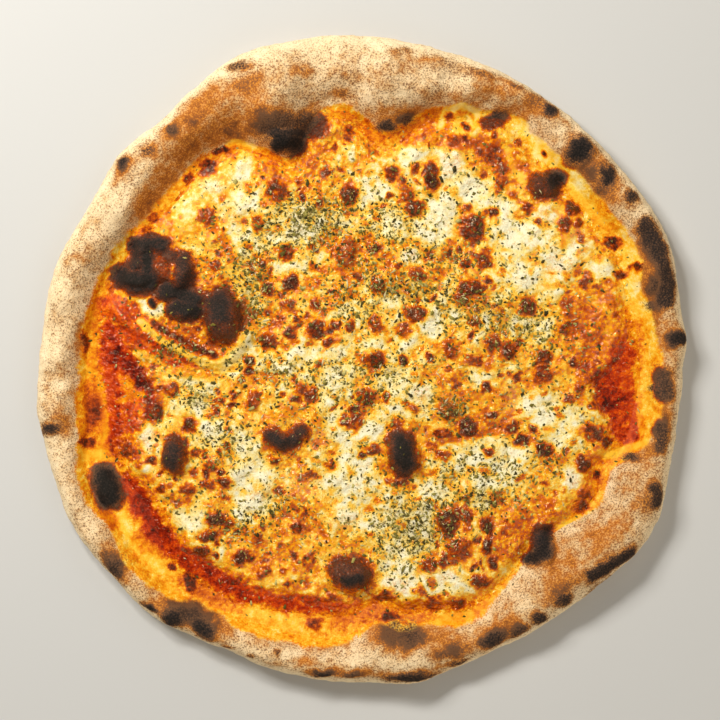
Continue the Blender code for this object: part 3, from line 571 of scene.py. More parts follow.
# Smaller charred spots of the rim, and smoky patches round them: middle, half sizes, turn, strength.
RIM_CHAR = (
    (607, 174, 9, 10, 0, 0.85), (630, 196, 7, 8, 0, 0.7), (551, 109, 8, 7, 0, 0.85),
    (492, 638, 13, 7, 20, 0.75), (410, 677, 26, 6, 0, 0.8), (322, 672, 11, 5, 0, 0.8),
    (172, 617, 11, 10, 0, 0.85), (203, 626, 12, 10, 140, 0.85), (187, 612, 20, 8, 160, 0.66),
    (150, 606, 9, 4, 150, 0.9), (115, 567, 9, 15, 30, 0.65), (49, 427, 7, 12, 100, 0.75),
    (122, 161, 7, 8, 0, 0.8), (173, 130, 8, 6, 0, 0.55), (239, 64, 13, 6, 0, 0.55),
    (387, 124, 11, 5, 0, 0.7), (405, 117, 8, 6, 0, 0.6), (494, 117, 12, 8, 20, 0.7),
    (410, 634, 16, 12, 0, 0.55), (392, 628, 12, 8, 0, 0.5), (652, 285, 6, 8, 0, 0.6),
    (649, 304, 5, 4, 0, 0.55), (652, 386, 4, 6, 0, 0.6), (660, 388, 9, 12, 0, 0.55),
    (633, 457, 9, 4, 0, 0.65), (540, 616, 9, 7, 0, 0.75), (562, 598, 9, 8, 45, 0.7),
    (520, 628, 12, 6, 30, 0.6), (147, 150, 9, 7, 0, 0.5), (350, 672, 10, 4, 0, 0.6),
    (460, 662, 12, 5, 20, 0.6), (275, 650, 4, 3, 0, 0.5), (560, 590, 26, 10, 40, 0.32),
    (602, 590, 20, 7, 40, 0.36), (452, 650, 24, 9, 10, 0.36), (612, 562, 26, 11, 30, 0.45),
    (400, 634, 26, 15, 0, 0.4), (250, 82, 22, 9, 20, 0.28), (452, 66, 26, 9, 160, 0.32),
    (540, 100, 16, 9, 150, 0.34), (600, 180, 12, 22, 40, 0.36), (352, 76, 18, 9, 0, 0.26),
    (300, 70, 14, 7, 0, 0.26), (430, 88, 20, 8, 0, 0.24), (648, 500, 16, 14, 0, 0.34),
    (62, 420, 12, 18, 0, 0.26), (112, 560, 14, 20, 30, 0.34), (192, 620, 30, 9, 155, 0.32),
    (228, 648, 5, 3, 0, 0.5), (250, 655, 4, 3, 0, 0.5), (610, 590, 9, 4, 45, 0.5),
    (105, 552, 5, 8, 30, 0.4), (404, 50, 14, 5, 0, 0.35), (478, 72, 16, 6, 160, 0.4),
    (515, 84, 12, 5, 150, 0.4), (345, 92, 12, 7, 0, 0.3),
)

# Golden and brown patches of the rim, in rows of the same kind, with painted shade at its lower right.
RIM_TOAST_AND_SHADE = (
    (205, 110, 36, 28, 40, 0.75), (182, 150, 30, 14, 45, 0.8), (150, 190, 34, 12, 60, 0.8),
    (225, 134, 26, 10, 10, 0.8), (170, 150, 32, 20, 60, 0.75), (165, 172, 16, 12, 0, 0.85),
    (150, 195, 14, 30, 150, 0.8), (245, 97, 28, 18, 0, 0.45), (225, 125, 28, 15, 0, 0.85),
    (260, 118, 20, 12, 0, 0.75), (400, 112, 38, 9, 0, 0.6), (450, 100, 24, 10, 0, 0.5),
    (410, 60, 30, 12, 0, 0.3), (490, 85, 22, 14, 0, 0.5), (515, 115, 24, 12, 30, 0.7),
    (600, 200, 30, 14, 50, 0.5), (650, 320, 12, 30, 0, 0.6), (665, 360, 14, 22, 0, 0.6),
    # Painted shade: the patches at (600, 540), (560, 575) and (600, 590) darken the rim's shadowed
    # lower right beyond its toasting.
    (658, 410, 14, 22, 0, 0.8), (650, 460, 14, 22, 0, 0.5), (600, 540, 30, 12, 40, 0.6),
    (560, 575, 34, 14, 40, 0.55), (600, 590, 30, 9, 40, 0.6), (500, 628, 36, 10, 25, 0.6),
    (440, 645, 30, 14, 0, 0.45), (350, 670, 44, 6, 0, 0.8), (440, 670, 34, 7, 0, 0.7),
    (400, 636, 30, 18, 0, 0.75), (66, 424, 14, 18, 100, 0.2), (80, 335, 5, 16, 0, 0.7),
    (84, 400, 7, 24, 0, 0.6), (116, 562, 10, 20, 30, 0.6), (190, 610, 38, 17, 150, 0.8),
    (50, 405, 6, 18, 100, 0.3), (122, 250, 9, 16, 0, 0.5), (90, 300, 12, 20, 0, 0.2),
    (520, 70, 12, 8, 0, 0.5), (555, 90, 12, 8, 0, 0.5), (590, 165, 30, 10, 50, 0.6),
    (672, 340, 12, 26, 0, 0.5), (650, 270, 14, 34, 0, 0.7), (560, 110, 16, 10, 140, 0.4),
    (630, 480, 16, 12, 0, 0.4), (270, 640, 26, 8, 0, 0.35), (330, 640, 20, 8, 0, 0.45),
    (300, 660, 30, 5, 0, 0.55), (220, 640, 16, 6, 150, 0.5), (122, 168, 10, 16, 140, 0.6),
)


def circle_grid(rows, directions):
    """Quads between rows of points that each run once round the pizza."""
    row, step = np.meshgrid(np.arange(rows - 1), np.arange(directions), indexing="ij")
    after = (step + 1) % directions
    first, second = row * directions, (row + 1) * directions
    return np.stack([first + step, second + step, second + after, first + after], -1).reshape(-1, 4)


def new_piece(name, points, faces, masks, material):
    """A smooth mesh piece of points in millimetres, with its masks as attributes of each point."""
    mesh = bpy.data.meshes.new(name)
    every_face = [face for part in faces for face in part.tolist()]
    mesh.from_pydata(((points - MIDDLE) * MM).tolist(), [], every_face)
    mesh.shade_smooth()
    for mask, values in masks.items():
        mesh.attributes.new(mask, "FLOAT", "POINT").data.foreach_set("value", values.astype(np.float32))
    mesh.materials.append(material)
    piece = bpy.data.objects.new(name, mesh)
    bpy.context.scene.collection.objects.link(piece)
    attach(piece, "root")
    return piece


def lay_node(tree, kind, settings, sockets):
    """Adds a shader node. A socket takes a plain value, or the output of another node."""
    node = tree.nodes.new(kind)
    for name, value in settings.items():
        setattr(node, name, value)
    for name, value in sockets.items():
        if isinstance(value, bpy.types.NodeSocket):
            tree.links.new(value, node.inputs[name])
        else:
            node.inputs[name].default_value = value
    return node.outputs


def mask_of(tree, name):
    """The value of one of the piece's masks."""
    return lay_node(tree, "ShaderNodeAttribute", {"attribute_name": name}, {})["Fac"]


def grain(tree, scale, detail=2.0, roughness=0.6):
    """Noise from 0 to 1 over the object's own coordinates, with this many waves to the metre."""
    place = lay_node(tree, "ShaderNodeTexCoord", {}, {})["Object"]
    sockets = {"Vector": place, "Scale": scale, "Detail": detail, "Roughness": roughness}
    return lay_node(tree, "ShaderNodeTexNoise", {}, sockets)["Fac"]


def sum_of(tree, value, added, factor):
    """value + added * factor"""
    sockets = {0: added, 1: factor, 2: value}
    return lay_node(tree, "ShaderNodeMath", {"operation": "MULTIPLY_ADD"}, sockets)["Value"]


def ease(tree, value, low, high):
    """0 below low, 1 above high and eased between."""
    sockets = {"Value": value, "From Min": low, "From Max": high}
    return lay_node(tree, "ShaderNodeMapRange", {"interpolation_type": "SMOOTHSTEP"}, sockets)["Result"]


def between(tree, share, low, high):
    """low where the share is 0 and high where it is 1."""
    sockets = {"Value": share, "To Min": low, "To Max": high}
    return lay_node(tree, "ShaderNodeMapRange", {}, sockets)["Result"]


def linear(colour):
    """A screen colour of 0 to 255 as the light values that a shader takes."""
    share = np.array(colour) / 255
    return (*np.where(share <= 0.04045, share / 12.92, ((share + 0.055) / 1.055) ** 2.4), 1.0)


def ramp(tree, value, stops):
    """A colour ramp from rows of place and screen colour."""
    node = tree.nodes.new("ShaderNodeValToRGB")
    tree.links.new(value, node.inputs["Fac"])
    elements = node.color_ramp.elements
    while len(elements) < len(stops):
        elements.new(0.5)
    for element, (place, colour) in zip(elements, stops):
        element.position, element.color = place, linear(colour)
    return node.outputs["Color"]


def blend(tree, share, under, over):
    """One colour over another. The over colour may be a plain screen colour."""
    if isinstance(over, tuple):
        over = linear(over)
    node = tree.nodes.new("ShaderNodeMix")
    node.data_type = "RGBA"
    tree.links.new(share, node.inputs["Factor"])
    for place, value in ((6, under), (7, over)):
        if isinstance(value, bpy.types.NodeSocket):
            tree.links.new(value, node.inputs[place])
        else:
            node.inputs[place].default_value = value
    return node.outputs[2]


OILY_TINT = (1.0, 0.84, 0.58, 1.0)


def finish_of(name, build):
    """A material whose build function gives colour, roughness, bump height and depth, and gloss."""
    material = bpy.data.materials.new(name)
    material.use_nodes = True
    tree = material.node_tree
    shader = tree.nodes["Principled BSDF"]
    colour, roughness, height, depth, gloss = build(tree)
    tree.links.new(colour, shader.inputs["Base Color"])
    tree.links.new(roughness, shader.inputs["Roughness"])
    bump = lay_node(tree, "ShaderNodeBump", {}, {"Height": height, "Distance": depth, "Strength": 1.0})
    tree.links.new(bump["Normal"], shader.inputs["Normal"])
    shader.inputs["Specular IOR Level"].default_value = gloss
    shader.inputs["Specular Tint"].default_value = OILY_TINT
    return material


SKIN_STOPS = (
    (0.0, (254, 232, 190)), (0.3, (246, 214, 166)), (0.5, (228, 184, 126)), (0.7, (222, 146, 58)),
    (0.85, (204, 122, 44)), (1.0, (132, 88, 58)),
)
SPECK_STOPS = ((0.0, (176, 130, 92)), (0.35, (126, 88, 60)), (0.65, (174, 98, 36)), (1.0, (94, 60, 40)))
COOK_STOPS = (
    (0.0, (255, 248, 210)), (0.12, (255, 232, 148)), (0.24, (252, 200, 58)), (0.36, (244, 160, 16)),
    (0.48, (226, 120, 6)), (0.6, (196, 84, 8)), (0.72, (150, 52, 10)), (0.84, (96, 34, 12)),
    (1.0, (42, 21, 14)),
)
RED_STOPS = (
    (0.2, (250, 164, 34)), (0.38, (234, 114, 16)), (0.52, (210, 74, 10)), (0.66, (176, 46, 7)),
    (0.8, (128, 26, 6)), (0.95, (64, 14, 8)),
)
CHAR_STOPS = (
    (0.3, (130, 62, 28)), (0.5, (92, 48, 34)), (0.68, (62, 41, 36)), (0.86, (36, 31, 33)),
    (1.0, (18, 18, 21)),
)
SMOKE_STOPS = (
    (0.3, (138, 98, 66)), (0.5, (98, 70, 52)), (0.68, (62, 47, 40)), (0.86, (39, 34, 33)),
    (1.0, (22, 21, 22)),
)


def oven_colour(tree, coarse, fine, stir):
    """Cream to black-brown by how cooked it is, or the reds of the sauce, broken up by two grains.

    The grains' strength grows from weak on pale cream to stir on what is well cooked.
    """
    level = mask_of(tree, "cook_and_shade")
    sockets = {"Value": level, "From Max": 0.45, "To Min": 0.2, "To Max": stir}
    share = lay_node(tree, "ShaderNodeMapRange", {}, sockets)["Result"]
    share = sum_of(tree, share, mask_of(tree, "calm"), -0.55 * stir)
    stirred = sum_of(tree, sum_of(tree, -0.85, coarse, 1.2), fine, 0.5)
    cook_and_shade = sum_of(tree, level, stirred, share)
    red = sum_of(tree, mask_of(tree, "red"), sum_of(tree, -0.5, fine, 1.0), 1.0)
    red = ease(tree, sum_of(tree, red, sum_of(tree, -0.5, coarse, 1.0), 0.7), 0.3, 0.8)
    return blend(tree, red, ramp(tree, cook_and_shade, COOK_STOPS), ramp(tree, cook_and_shade, RED_STOPS))


def charred(tree, colour, fine, share, stops=CHAR_STOPS):
    """Char over a colour, thinning to brown at its edge, and how much of it is black."""
    burnt = sum_of(tree, mask_of(tree, "char"), sum_of(tree, -0.5, fine, 1.0), share)
    colour = blend(tree, ease(tree, burnt, 0.12, 0.6), colour, ramp(tree, burnt, stops))
    return colour, ease(tree, burnt, 0.25, 0.65)


def dough_finish(tree):
    """Floury skin under fine specks, oil-stained towards the sauce, with char over all.

    The specks of browned skin come through where the grain beats a level that falls as it toasts.
    """
    specks = grain(tree, 1150.0, 2.0, 0.75)
    blotches = grain(tree, 210.0, 3.0)
    toast_and_shade = sum_of(tree, mask_of(tree, "toast_and_shade"), sum_of(tree, -0.5, blotches, 1.0), 0.7)
    speckled = sum_of(tree, specks, toast_and_shade, 0.28)
    skin, specked = ramp(tree, toast_and_shade, SKIN_STOPS), ramp(tree, toast_and_shade, SPECK_STOPS)
    colour = blend(tree, ease(tree, speckled, 0.53, 0.78), skin, specked)
    stained = oven_colour(tree, grain(tree, 420.0, 4.0, 0.65), specks, 0.85)
    stain = sum_of(tree, mask_of(tree, "stain"), sum_of(tree, -0.5, specks, 1.0), 1.3)
    stain = ease(tree, stain, 0.3, 0.7)
    colour = blend(tree, stain, colour, stained)
    colour, black = charred(tree, colour, specks, 1.15, SMOKE_STOPS)
    roughness = sum_of(tree, between(tree, stain, 0.85, 0.36), black, 0.4)
    depth, gloss = 0.7 * MM, 0.25
    return colour, roughness, sum_of(tree, blotches, specks, 0.5), depth, gloss


# Points in each row round the pizza, the radius of the innermost row, and how far in from the
# sauce's edge the rows begin to lie close together.
STEPS, PINHOLE, WELL_UNDER_SAUCE = 960, 0.0005, 14
STAIN_COOK, STAIN_MOTTLE = 0.36, 0.1
# The solid's outline has 112 corners, and the frame's origin is under the middle of its box.
around = np.linspace(0, 360, 112, endpoint=False)
outline = outer_radius(around)
corners = np.stack([outline * np.cos(np.radians(around)), outline * np.sin(np.radians(around))])
MIDDLE = np.array([*(corners.max(1) + corners.min(1)) / 2, 0.0])


def dough_rows():
    """The dough as rows round the pizza, from the middle of its top to the middle of its underside.

    The top rows lie on the dough's height. Past the crest a row is a step of a rounded side:
    out and down by a quarter turn, then in under the rim, and last along the flat underside.
    Each row comes with its places unrolled flat from the crest outward, for the noise and the
    spots, and with how far down it has turned: 0 on top, 0.5 where the rim is widest, 1 at the
    floor and 1.2 beneath.
    """
    direction = np.linspace(0, 360, STEPS, endpoint=False)
    cosine, sine = np.cos(np.radians(direction)), np.sin(np.radians(direction))
    crest, outer = crest_radius(direction), outer_radius(direction)
    hidden = sauce_radius(direction) - WELL_UNDER_SAUCE
    spread = [PINHOLE * np.ones(STEPS)] + [share * hidden for share in (0.25, 0.5, 0.75, 0.9)]
    spread += [hidden + share * (crest - hidden) for share in np.linspace(0, 1, 54)]
    rows, flat, down_share = [], [], []
    for radius in spread:
        x, y = radius * cosine, radius * sine
        rows.append(np.stack([x, y, dough_height(x, y)], -1))
        flat.append(np.stack([x, y], -1))
        down_share.append(np.zeros(STEPS))
    top = dough_height(crest * cosine, crest * sine)
    widest = WIDEST_AT_HEIGHT * top
    turns = [(down, 0.0) for down in np.linspace(0, 90, 17)[1:]]
    turns += [(90.0, under) for under in np.linspace(0, 90, 8)[1:]]
    arc = np.zeros(STEPS)
    for down, under in turns:
        tucked = RIM_UNDERCUT * (1 - np.cos(np.radians(under)))
        radius = crest + (outer - crest) * np.sin(np.radians(down)) - tucked
        height = widest + (top - widest) * np.cos(np.radians(down)) - widest * np.sin(np.radians(under))
        rows.append(np.stack([radius * cosine, radius * sine, height], -1))
        arc = arc + np.linalg.norm(rows[-1] - rows[-2], axis=-1)
        flat.append(np.stack([(crest + arc) * cosine, (crest + arc) * sine], -1))
        down_share.append(np.full(STEPS, (down + under) / 180))
    bottom = outer - RIM_UNDERCUT
    for share in (0.97, 0.9, 0.75, 0.5, 0.25, 0.001):
        radius = share * bottom
        rows.append(np.stack([radius * cosine, radius * sine, np.zeros(STEPS)], -1))
        unrolled = crest + arc + bottom - radius
        flat.append(np.stack([unrolled * cosine, unrolled * sine], -1))
        down_share.append(np.full(STEPS, 1.2))
    return np.array(rows), np.array(flat), np.array(down_share)


rows, flat, down_share = dough_rows()
fx, fy = flat[..., 0].ravel(), flat[..., 1].ravel()
down = down_share.ravel()
flat_direction, flat_radius = polar(fx, fy)
inner_edge = rim_inner_radius(flat_direction)
stain_cook = STAIN_COOK + STAIN_MOTTLE * layered_noise(fx, fy, 9.0, 51)
marks = oven_marks(fx, fy, stain_cook, np.zeros_like(fx))
marks["char"] = char = np.maximum(marks["char"], spots(fx, fy, RIM_CHAR, SMOKY_EDGE)) * (down < 1.1)

# Fine relief pushes the skin of the rim outward, and fades towards the floor. It is lumps, a
# finer grain, the swelling of the char and half of the blisters' height.
skin = (down < 1.0) * smooth_step((flat_radius - sauce_radius(flat_direction) + 2) / 8)
skin = skin * (1 - smooth_step((down - 0.55) / 0.35))
relief = 0.6 * layered_noise(fx, fy, 9.0, 21) + 0.22 * soft_noise(fx, fy, 2.2, 25)
relief += 0.8 * smooth_step(char) + 0.5 * blister_domes(fx, fy)
onward = rows[1:-1] - rows[:-2]
outward = np.cross(onward, np.roll(rows[1:-1], -1, axis=1) - rows[1:-1])
outward /= np.linalg.norm(outward, axis=-1, keepdims=True) + 1e-9
rows[1:-1] += outward * (relief * skin).reshape(rows.shape[:2])[1:-1, :, None]
rows[..., 2] = np.maximum(rows[..., 2], 0.0)

# The rim toasts in patches, round its char and along its inner edge, and painted shade darkens it
# further at its lower right. Its side stays pale, and the sauce's oil stains it where it runs over
# the inner edge.
toast_and_shade = 0.3 + 0.2 * layered_noise(fx, fy, 16.0, 31) + 0.1 * layered_noise(fx, fy, 6.0, 35)
# These patches also carry painted shade at the rim's lower right.
toast_and_shade += 0.5 * spots(fx, fy, RIM_TOAST_AND_SHADE, SOFT_EDGE)
side = smooth_step((down - 0.14) / 0.22)
toast_and_shade = toast_and_shade * (1 - 0.75 * side) + 0.02 * side + 0.35 * smooth_step((down - 0.7) / 0.25)
toast_and_shade += 0.45 * smooth_step(char / 0.5)
toast_and_shade += 0.1 * np.clip(1 - np.abs(flat_radius - inner_edge - 2) / 9, 0, 1) * (1 - side)
STAIN_SWELLS = (
    (135, 26, -4.0), (100, 8, -3.0), (58, 10, -3.0), (222, 30, 1.5), (235, 6, -5.0), (318, 24, -7.0),
    (350, 12, 4.0),
)
stain_reach = 1.5 + swelling(flat_direction, STAIN_SWELLS) + 3.2 * layered_noise(fx, fy, 11.0, 41)
stain = smooth_step((inner_edge + stain_reach - flat_radius) / 5.0 + 0.5) * (down < 0.1)

masks = {**marks, "toast_and_shade": toast_and_shade, "stain": stain}
quads = [circle_grid(len(rows), STEPS)]
floury = finish_of("floury_crust", dough_finish)
crust = new_piece("baked_crust", rows.reshape(-1, 3), quads, masks, floury)
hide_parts("crust")


# The tomato sauce
# Crushed tomato and oil, spread thin over the dough. It shows in a pool on the left, along the
# lower left and on the right, where the cheese has drawn back.
SAUCE_THICKNESS, SAUCE_EDGE_THICKNESS, SAUCE_LEAST_THICKNESS = 1.2, -0.3, 0.1
LAYER_GAP, LAYER_TAPER, SAUCE_CELLS = 0.15, 8.0, 200
SAUCE_COOK, SAUCE_MOTTLE = 0.41, 0.14


def layer_taper(x, y, edge_radius):
    """1 inside a layer, down to 0 at its edge."""
    direction, radius = polar(x, y)
    return smooth_step((edge_radius(direction) - radius) / LAYER_TAPER)


def sauce_height(x, y):
    """The top of the sauce: the dough, a gap, the tapering thickness and the pulp, added up."""
    full = layer_taper(x, y, sauce_radius)
    thickness = SAUCE_EDGE_THICKNESS + (SAUCE_THICKNESS - SAUCE_EDGE_THICKNESS) * full
    pulp = 0.28 * layered_noise(x, y, 5.0, 61) + 0.12 * soft_noise(x, y, 1.6, 65)
    return dough_height(x, y) + LAYER_GAP + thickness + pulp * (0.5 + 0.5 * full)


def disc_places(cells, radius_at):
    """A square grid bent into a round: each square ring of the grid becomes a ring of the layer."""
    a, b = np.meshgrid(np.linspace(-1, 1, cells + 1), np.linspace(-1, 1, cells + 1), indexing="ij")
    ring = np.maximum(np.abs(a), np.abs(b))
    wide = np.abs(a) >= np.abs(b)
    safe = np.where(ring > 0, ring, 1)
    turn = np.where(wide, b / safe * 45, 0)
    turn = np.where(wide & (a < 0), 180 - b / safe * 45, turn)
    turn = np.where(~wide & (b > 0), 90 - a / safe * 45, turn)
    turn = np.where(~wide & (b < 0), 270 + a / safe * 45, turn)
    radius = ring * radius_at(turn)
    return radius * np.cos(np.radians(turn)), radius * np.sin(np.radians(turn))


def edge_loop(cells):
    """The grid's border points in order, counter-clockwise."""
    number = np.arange((cells + 1) ** 2).reshape(cells + 1, cells + 1)
    return np.concatenate([number[:-1, 0], number[-1, :-1], number[:0:-1, -1], number[0, :0:-1]])


def grid_quads(cells):
    """The cells of the grid as faces."""
    number = np.arange((cells + 1) ** 2).reshape(cells + 1, cells + 1)
    quads = np.stack([number[:-1, :-1], number[1:, :-1], number[1:, 1:], number[:-1, 1:]], -1)
    return quads.reshape(-1, 4)


def layer_shape(cells, radius_at, top_height, under_height):
    """A closed layer: a fine top, an underside with cells twice as wide, and a side between them."""
    x, y = disc_places(cells, radius_at)
    top = np.stack([x, y, top_height(x, y)], -1).reshape(-1, 3)
    ux, uy = x[::2, ::2], y[::2, ::2]
    under = np.stack([ux, uy, under_height(ux, uy)], -1).reshape(-1, 3)
    upper, lower = edge_loop(cells), edge_loop(cells // 2) + len(top)
    first, middle, last = upper[::2], upper[1::2], np.roll(upper, -1)[1::2]
    after = np.roll(lower, -1)
    triangles = ([first, lower, middle], [middle, lower, after], [middle, after, last])
    side = np.concatenate([np.stack(triangle, -1) for triangle in triangles])
    faces = [grid_quads(cells), grid_quads(cells // 2)[:, ::-1] + len(top), side]
    return np.concatenate([top, under]), faces


def sauce_under(x, y):
    """The underside of the sauce: just over the dough, and always below its own top."""
    return np.minimum(dough_height(x, y) + LAYER_GAP, sauce_height(x, y)) - SAUCE_LEAST_THICKNESS


def sauce_finish(tree):
    """Wet red pulp where sauce lies bare, and oily cooked dough colours elsewhere."""
    pulp = grain(tree, 330.0, 4.0, 0.65)
    fine = grain(tree, 1300.0, 3.0, 0.65)
    colour, black = charred(tree, oven_colour(tree, pulp, fine, 1.1), fine, 1.0)
    roughness = sum_of(tree, ease(tree, fine, -0.1, 3.6), black, 0.7)
    depth, gloss = 1.2 * MM, 0.25
    return colour, roughness, sum_of(tree, grain(tree, 520.0, 1.0), fine, 0.15), depth, gloss


sauce_points, sauce_faces = layer_shape(SAUCE_CELLS, sauce_radius, sauce_height, sauce_under)
sx, sy = sauce_points[:, 0], sauce_points[:, 1]
sauce_cook = SAUCE_COOK + SAUCE_MOTTLE * layered_noise(sx, sy, 9.0, 51)
masks = oven_marks(sx, sy, sauce_cook, np.zeros_like(sx))
wet_tomato = finish_of("wet_tomato", sauce_finish)
sauce = new_piece("tomato_sauce_layer", sauce_points, sauce_faces, masks, wet_tomato)
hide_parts("tomato_sauce")


# The melted cheese
# Shredded cheese that has run together over the sauce. It stays cream where it lies thick, goes
# yellow and orange where its oil runs, and browns in glossy blisters.
CHEESE_THICKNESS, CHEESE_EDGE_THICKNESS, CHEESE_LEAST_THICKNESS = 2.6, -0.25, 0.2
CHEESE_GAP, CHEESE_CELLS, CHEESE_COOK, OILY_COOK, LEAST_PINK = 0.1, 276, 0.295, 0.42, 0.55
# The small blisters: how many, their least and greatest half size in pixels and strength, and how
# far they stay from the edge.
SMALL_BLISTERS, SMALL_BLISTER_SIZES, SMALL_BLISTER_SHADES = 640, (1.7, 5.0), (0.7, 1.1)
CLEAR_OF_EDGE = 6
SAUCE_BAND, SAUCE_BAND_SWELLS = 2.6, ((183, 11, 19.0), (232, 27, 7.0), (353, 9, 16.0))
# Thick cream-coloured cheese: middle, half sizes, turn and strength.
CREAM = (
    (235, 170, 22, 15, 0, 0.75), (212, 182, 22, 10, 0, 0.7), (252, 158, 12, 8, 0, 0.8),
    (250, 195, 20, 14, 0, 0.7), (222, 203, 20, 12, 0, 0.6), (182, 209, 20, 12, 0, 0.8),
    (302, 222, 30, 17, 0, 0.9), (265, 235, 24, 14, 0, 0.8), (291, 263, 18, 8),
    (345, 310, 16, 12, 0, 0.8), (340, 225, 14, 12, 0, 0.8), (361, 190, 11, 22),
    (192, 238, 20, 16, -45, 0.75), (153, 308, 10, 6), (262, 354, 26, 10, 0, 0.75),
    (300, 352, 24, 10, 0, 0.8), (332, 346, 18, 10, 0, 0.8), (238, 350, 6, 14, -40),
    (372, 186, 14, 13), (376, 160, 15, 8, 0, 0.7), (410, 155, 14, 8), (450, 163, 13, 20),
    (470, 188, 20, 14), (440, 203, 24, 18), (392, 224, 28, 14, 0, 0.85), (430, 224, 20, 17),
    (410, 254, 12, 7), (446, 212, 14, 16), (500, 206, 14, 10), (520, 234, 30, 20),
    (546, 214, 18, 13), (580, 238, 12, 18), (562, 256, 22, 16), (526, 272, 26, 18, 0, 0.85),
    (600, 268, 20, 9), (545, 292, 16, 13, 0, 0.7), (500, 290, 12, 10, 0, 0.7),
    (520, 322, 20, 13, 0, 0.75), (545, 326, 13, 9, 0, 0.8), (432, 326, 17, 11),
    (446, 314, 20, 8, 0, 0.8), (372, 345, 16, 9, 0, 0.75), (412, 342, 16, 9, 0, 0.75),
    (562, 350, 10, 9, 0, 0.7), (190, 376, 20, 12), (186, 409, 21, 13), (168, 425, 14, 10),
    (202, 430, 22, 13, 0, 0.6), (148, 436, 12, 14), (250, 440, 17, 17, 0, 0.8), (256, 469, 16, 13),
    (240, 482, 13, 18), (250, 502, 18, 12), (240, 516, 15, 9), (190, 519, 18, 10),
    (270, 410, 16, 11, 0, 0.7), (322, 390, 20, 15, 0, 0.8), (332, 369, 20, 10, 0, 0.8),
    (290, 366, 20, 9, 0, 0.7), (346, 440, 15, 11), (350, 460, 14, 13), (340, 482, 24, 16),
    (352, 502, 15, 16), (392, 381, 18, 12), (390, 410, 15, 10), (371, 431, 17, 11),
    (420, 394, 12, 18, 0, 0.7), (365, 460, 13, 15), (370, 482, 15, 11), (374, 520, 20, 13),
    (392, 500, 14, 10, 0, 0.85), (480, 376, 18, 10, 0, 0.7), (540, 401, 26, 12), (571, 424, 12, 15),
    (544, 415, 20, 9), (490, 440, 14, 9, 0, 0.85), (478, 456, 26, 13), (520, 451, 18, 9),
    (510, 466, 22, 11, 0, 0.9), (482, 481, 30, 9, 0, 0.85), (432, 489, 20, 11, 0, 0.9),
    (420, 522, 26, 20, 0, 0.85), (400, 547, 20, 13), (396, 566, 20, 11), (402, 585, 24, 11),
    (442, 574, 20, 9), (462, 586, 18, 9), (571, 480, 13, 13), (345, 600, 8, 5, 0, 0.6),
    (560, 440, 12, 8, 0, 0.8), (240, 250, 10, 8, 0, 0.6), (320, 260, 14, 6, 0, 0.6),
    (395, 300, 16, 8, 0, 0.6),
)
# Oily orange cheese, and cheese tinted pink: middle, half sizes, turn and strength.
ORANGE = (
    (292, 168, 26, 18), (365, 122, 32, 15), (160, 190, 14, 14), (218, 272, 14, 24),
    (590, 240, 16, 26, 30, 0.8), (300, 545, 30, 24), (255, 560, 28, 18), (345, 545, 24, 13, 0, 0.8),
    (520, 522, 26, 20), (490, 150, 30, 20), (475, 405, 22, 20), (285, 430, 30, 24, 0, 0.9),
    (215, 350, 24, 12, 0, 0.9), (435, 345, 26, 16, 0, 0.7), (600, 460, 20, 22),
    (190, 495, 26, 12, 0, 0.8), (400, 470, 22, 16, 0, 0.8), (420, 610, 40, 9),
    (530, 365, 22, 22, 0, 0.7), (305, 495, 34, 24, 0, 0.85), (310, 285, 34, 14, 0, 0.7),
    (225, 515, 20, 12, 0, 0.7), (325, 320, 30, 16, 0, 0.6), (545, 440, 20, 10, 0, 0.6),
)
PINKISH = (
    (212, 182, 24, 12), (452, 160, 14, 20), (500, 172, 24, 16, 0, 0.6), (546, 212, 20, 12),
    (580, 240, 14, 18), (560, 262, 26, 14), (410, 254, 14, 8), (300, 485, 28, 18),
    (262, 492, 20, 12), (440, 574, 26, 11), (398, 586, 24, 10), (148, 440, 12, 16),
    (422, 396, 12, 18), (345, 520, 20, 12), (230, 215, 20, 12), (250, 425, 16, 16, 0, 0.7),
    (510, 400, 10, 26), (575, 480, 14, 14), (425, 250, 30, 10, 0, 0.5), (320, 440, 14, 12),
)
# Where dried herb lies thickest, and one patch of painted shade: middle, half sizes, turn and strength.
HERB_AND_SHADE = (
    # The patch at (250, 285) is herb and also painted shade: its olive dust darkens the shaded valley
    # right of the burst bubble.
    (415, 525, 34, 34), (482, 310, 44, 16), (510, 322, 30, 18), (250, 285, 18, 48),
    (310, 222, 38, 24), (198, 397, 18, 14), (452, 405, 16, 14), (410, 287, 50, 15),
    (350, 300, 30, 20, 0, 0.6), (222, 440, 22, 26, 0, 0.8), (275, 368, 40, 14, 0, 0.7),
    (342, 212, 16, 20, 0, 0.8), (480, 496, 36, 12), (183, 312, 20, 8, 0, 0.7),
    (480, 470, 40, 14, 0, 0.7), (400, 570, 26, 20, 0, 0.6), (440, 588, 20, 10, 0, 0.7),
    (245, 520, 30, 20, 0, 0.5), (395, 225, 40, 20, 0, 0.6), (540, 330, 30, 20, 0, 0.6),
    (440, 255, 34, 14, 0, 0.8), (170, 350, 20, 12, 0, 0.7), (270, 240, 22, 14, 0, 0.6),
    (170, 505, 14, 16, 0, 0.8), (360, 380, 60, 30, 0, 0.5), (560, 455, 24, 16, 0, 0.6),
    (275, 500, 14, 14, 0, 0.8), (365, 270, 16, 40, 0, 0.6),
)


def cheese_radius(direction):
    """Where the cheese ends: a band of bare sauce in from the sauce's edge, ragged if it is wide."""
    band = SAUCE_BAND + swelling(direction, SAUCE_BAND_SWELLS)
    turn = np.radians(direction)
    lobes = 1.3 * np.sin(21 * turn + 0.4) + 0.7 * np.sin(57 * turn + 2.1)
    fine = 0.8 * np.sin(83 * turn) + 0.6 * np.sin(131 * turn + 1.0)
    return sauce_radius(direction) - band + (lobes + fine) * smooth_step(band / 12)


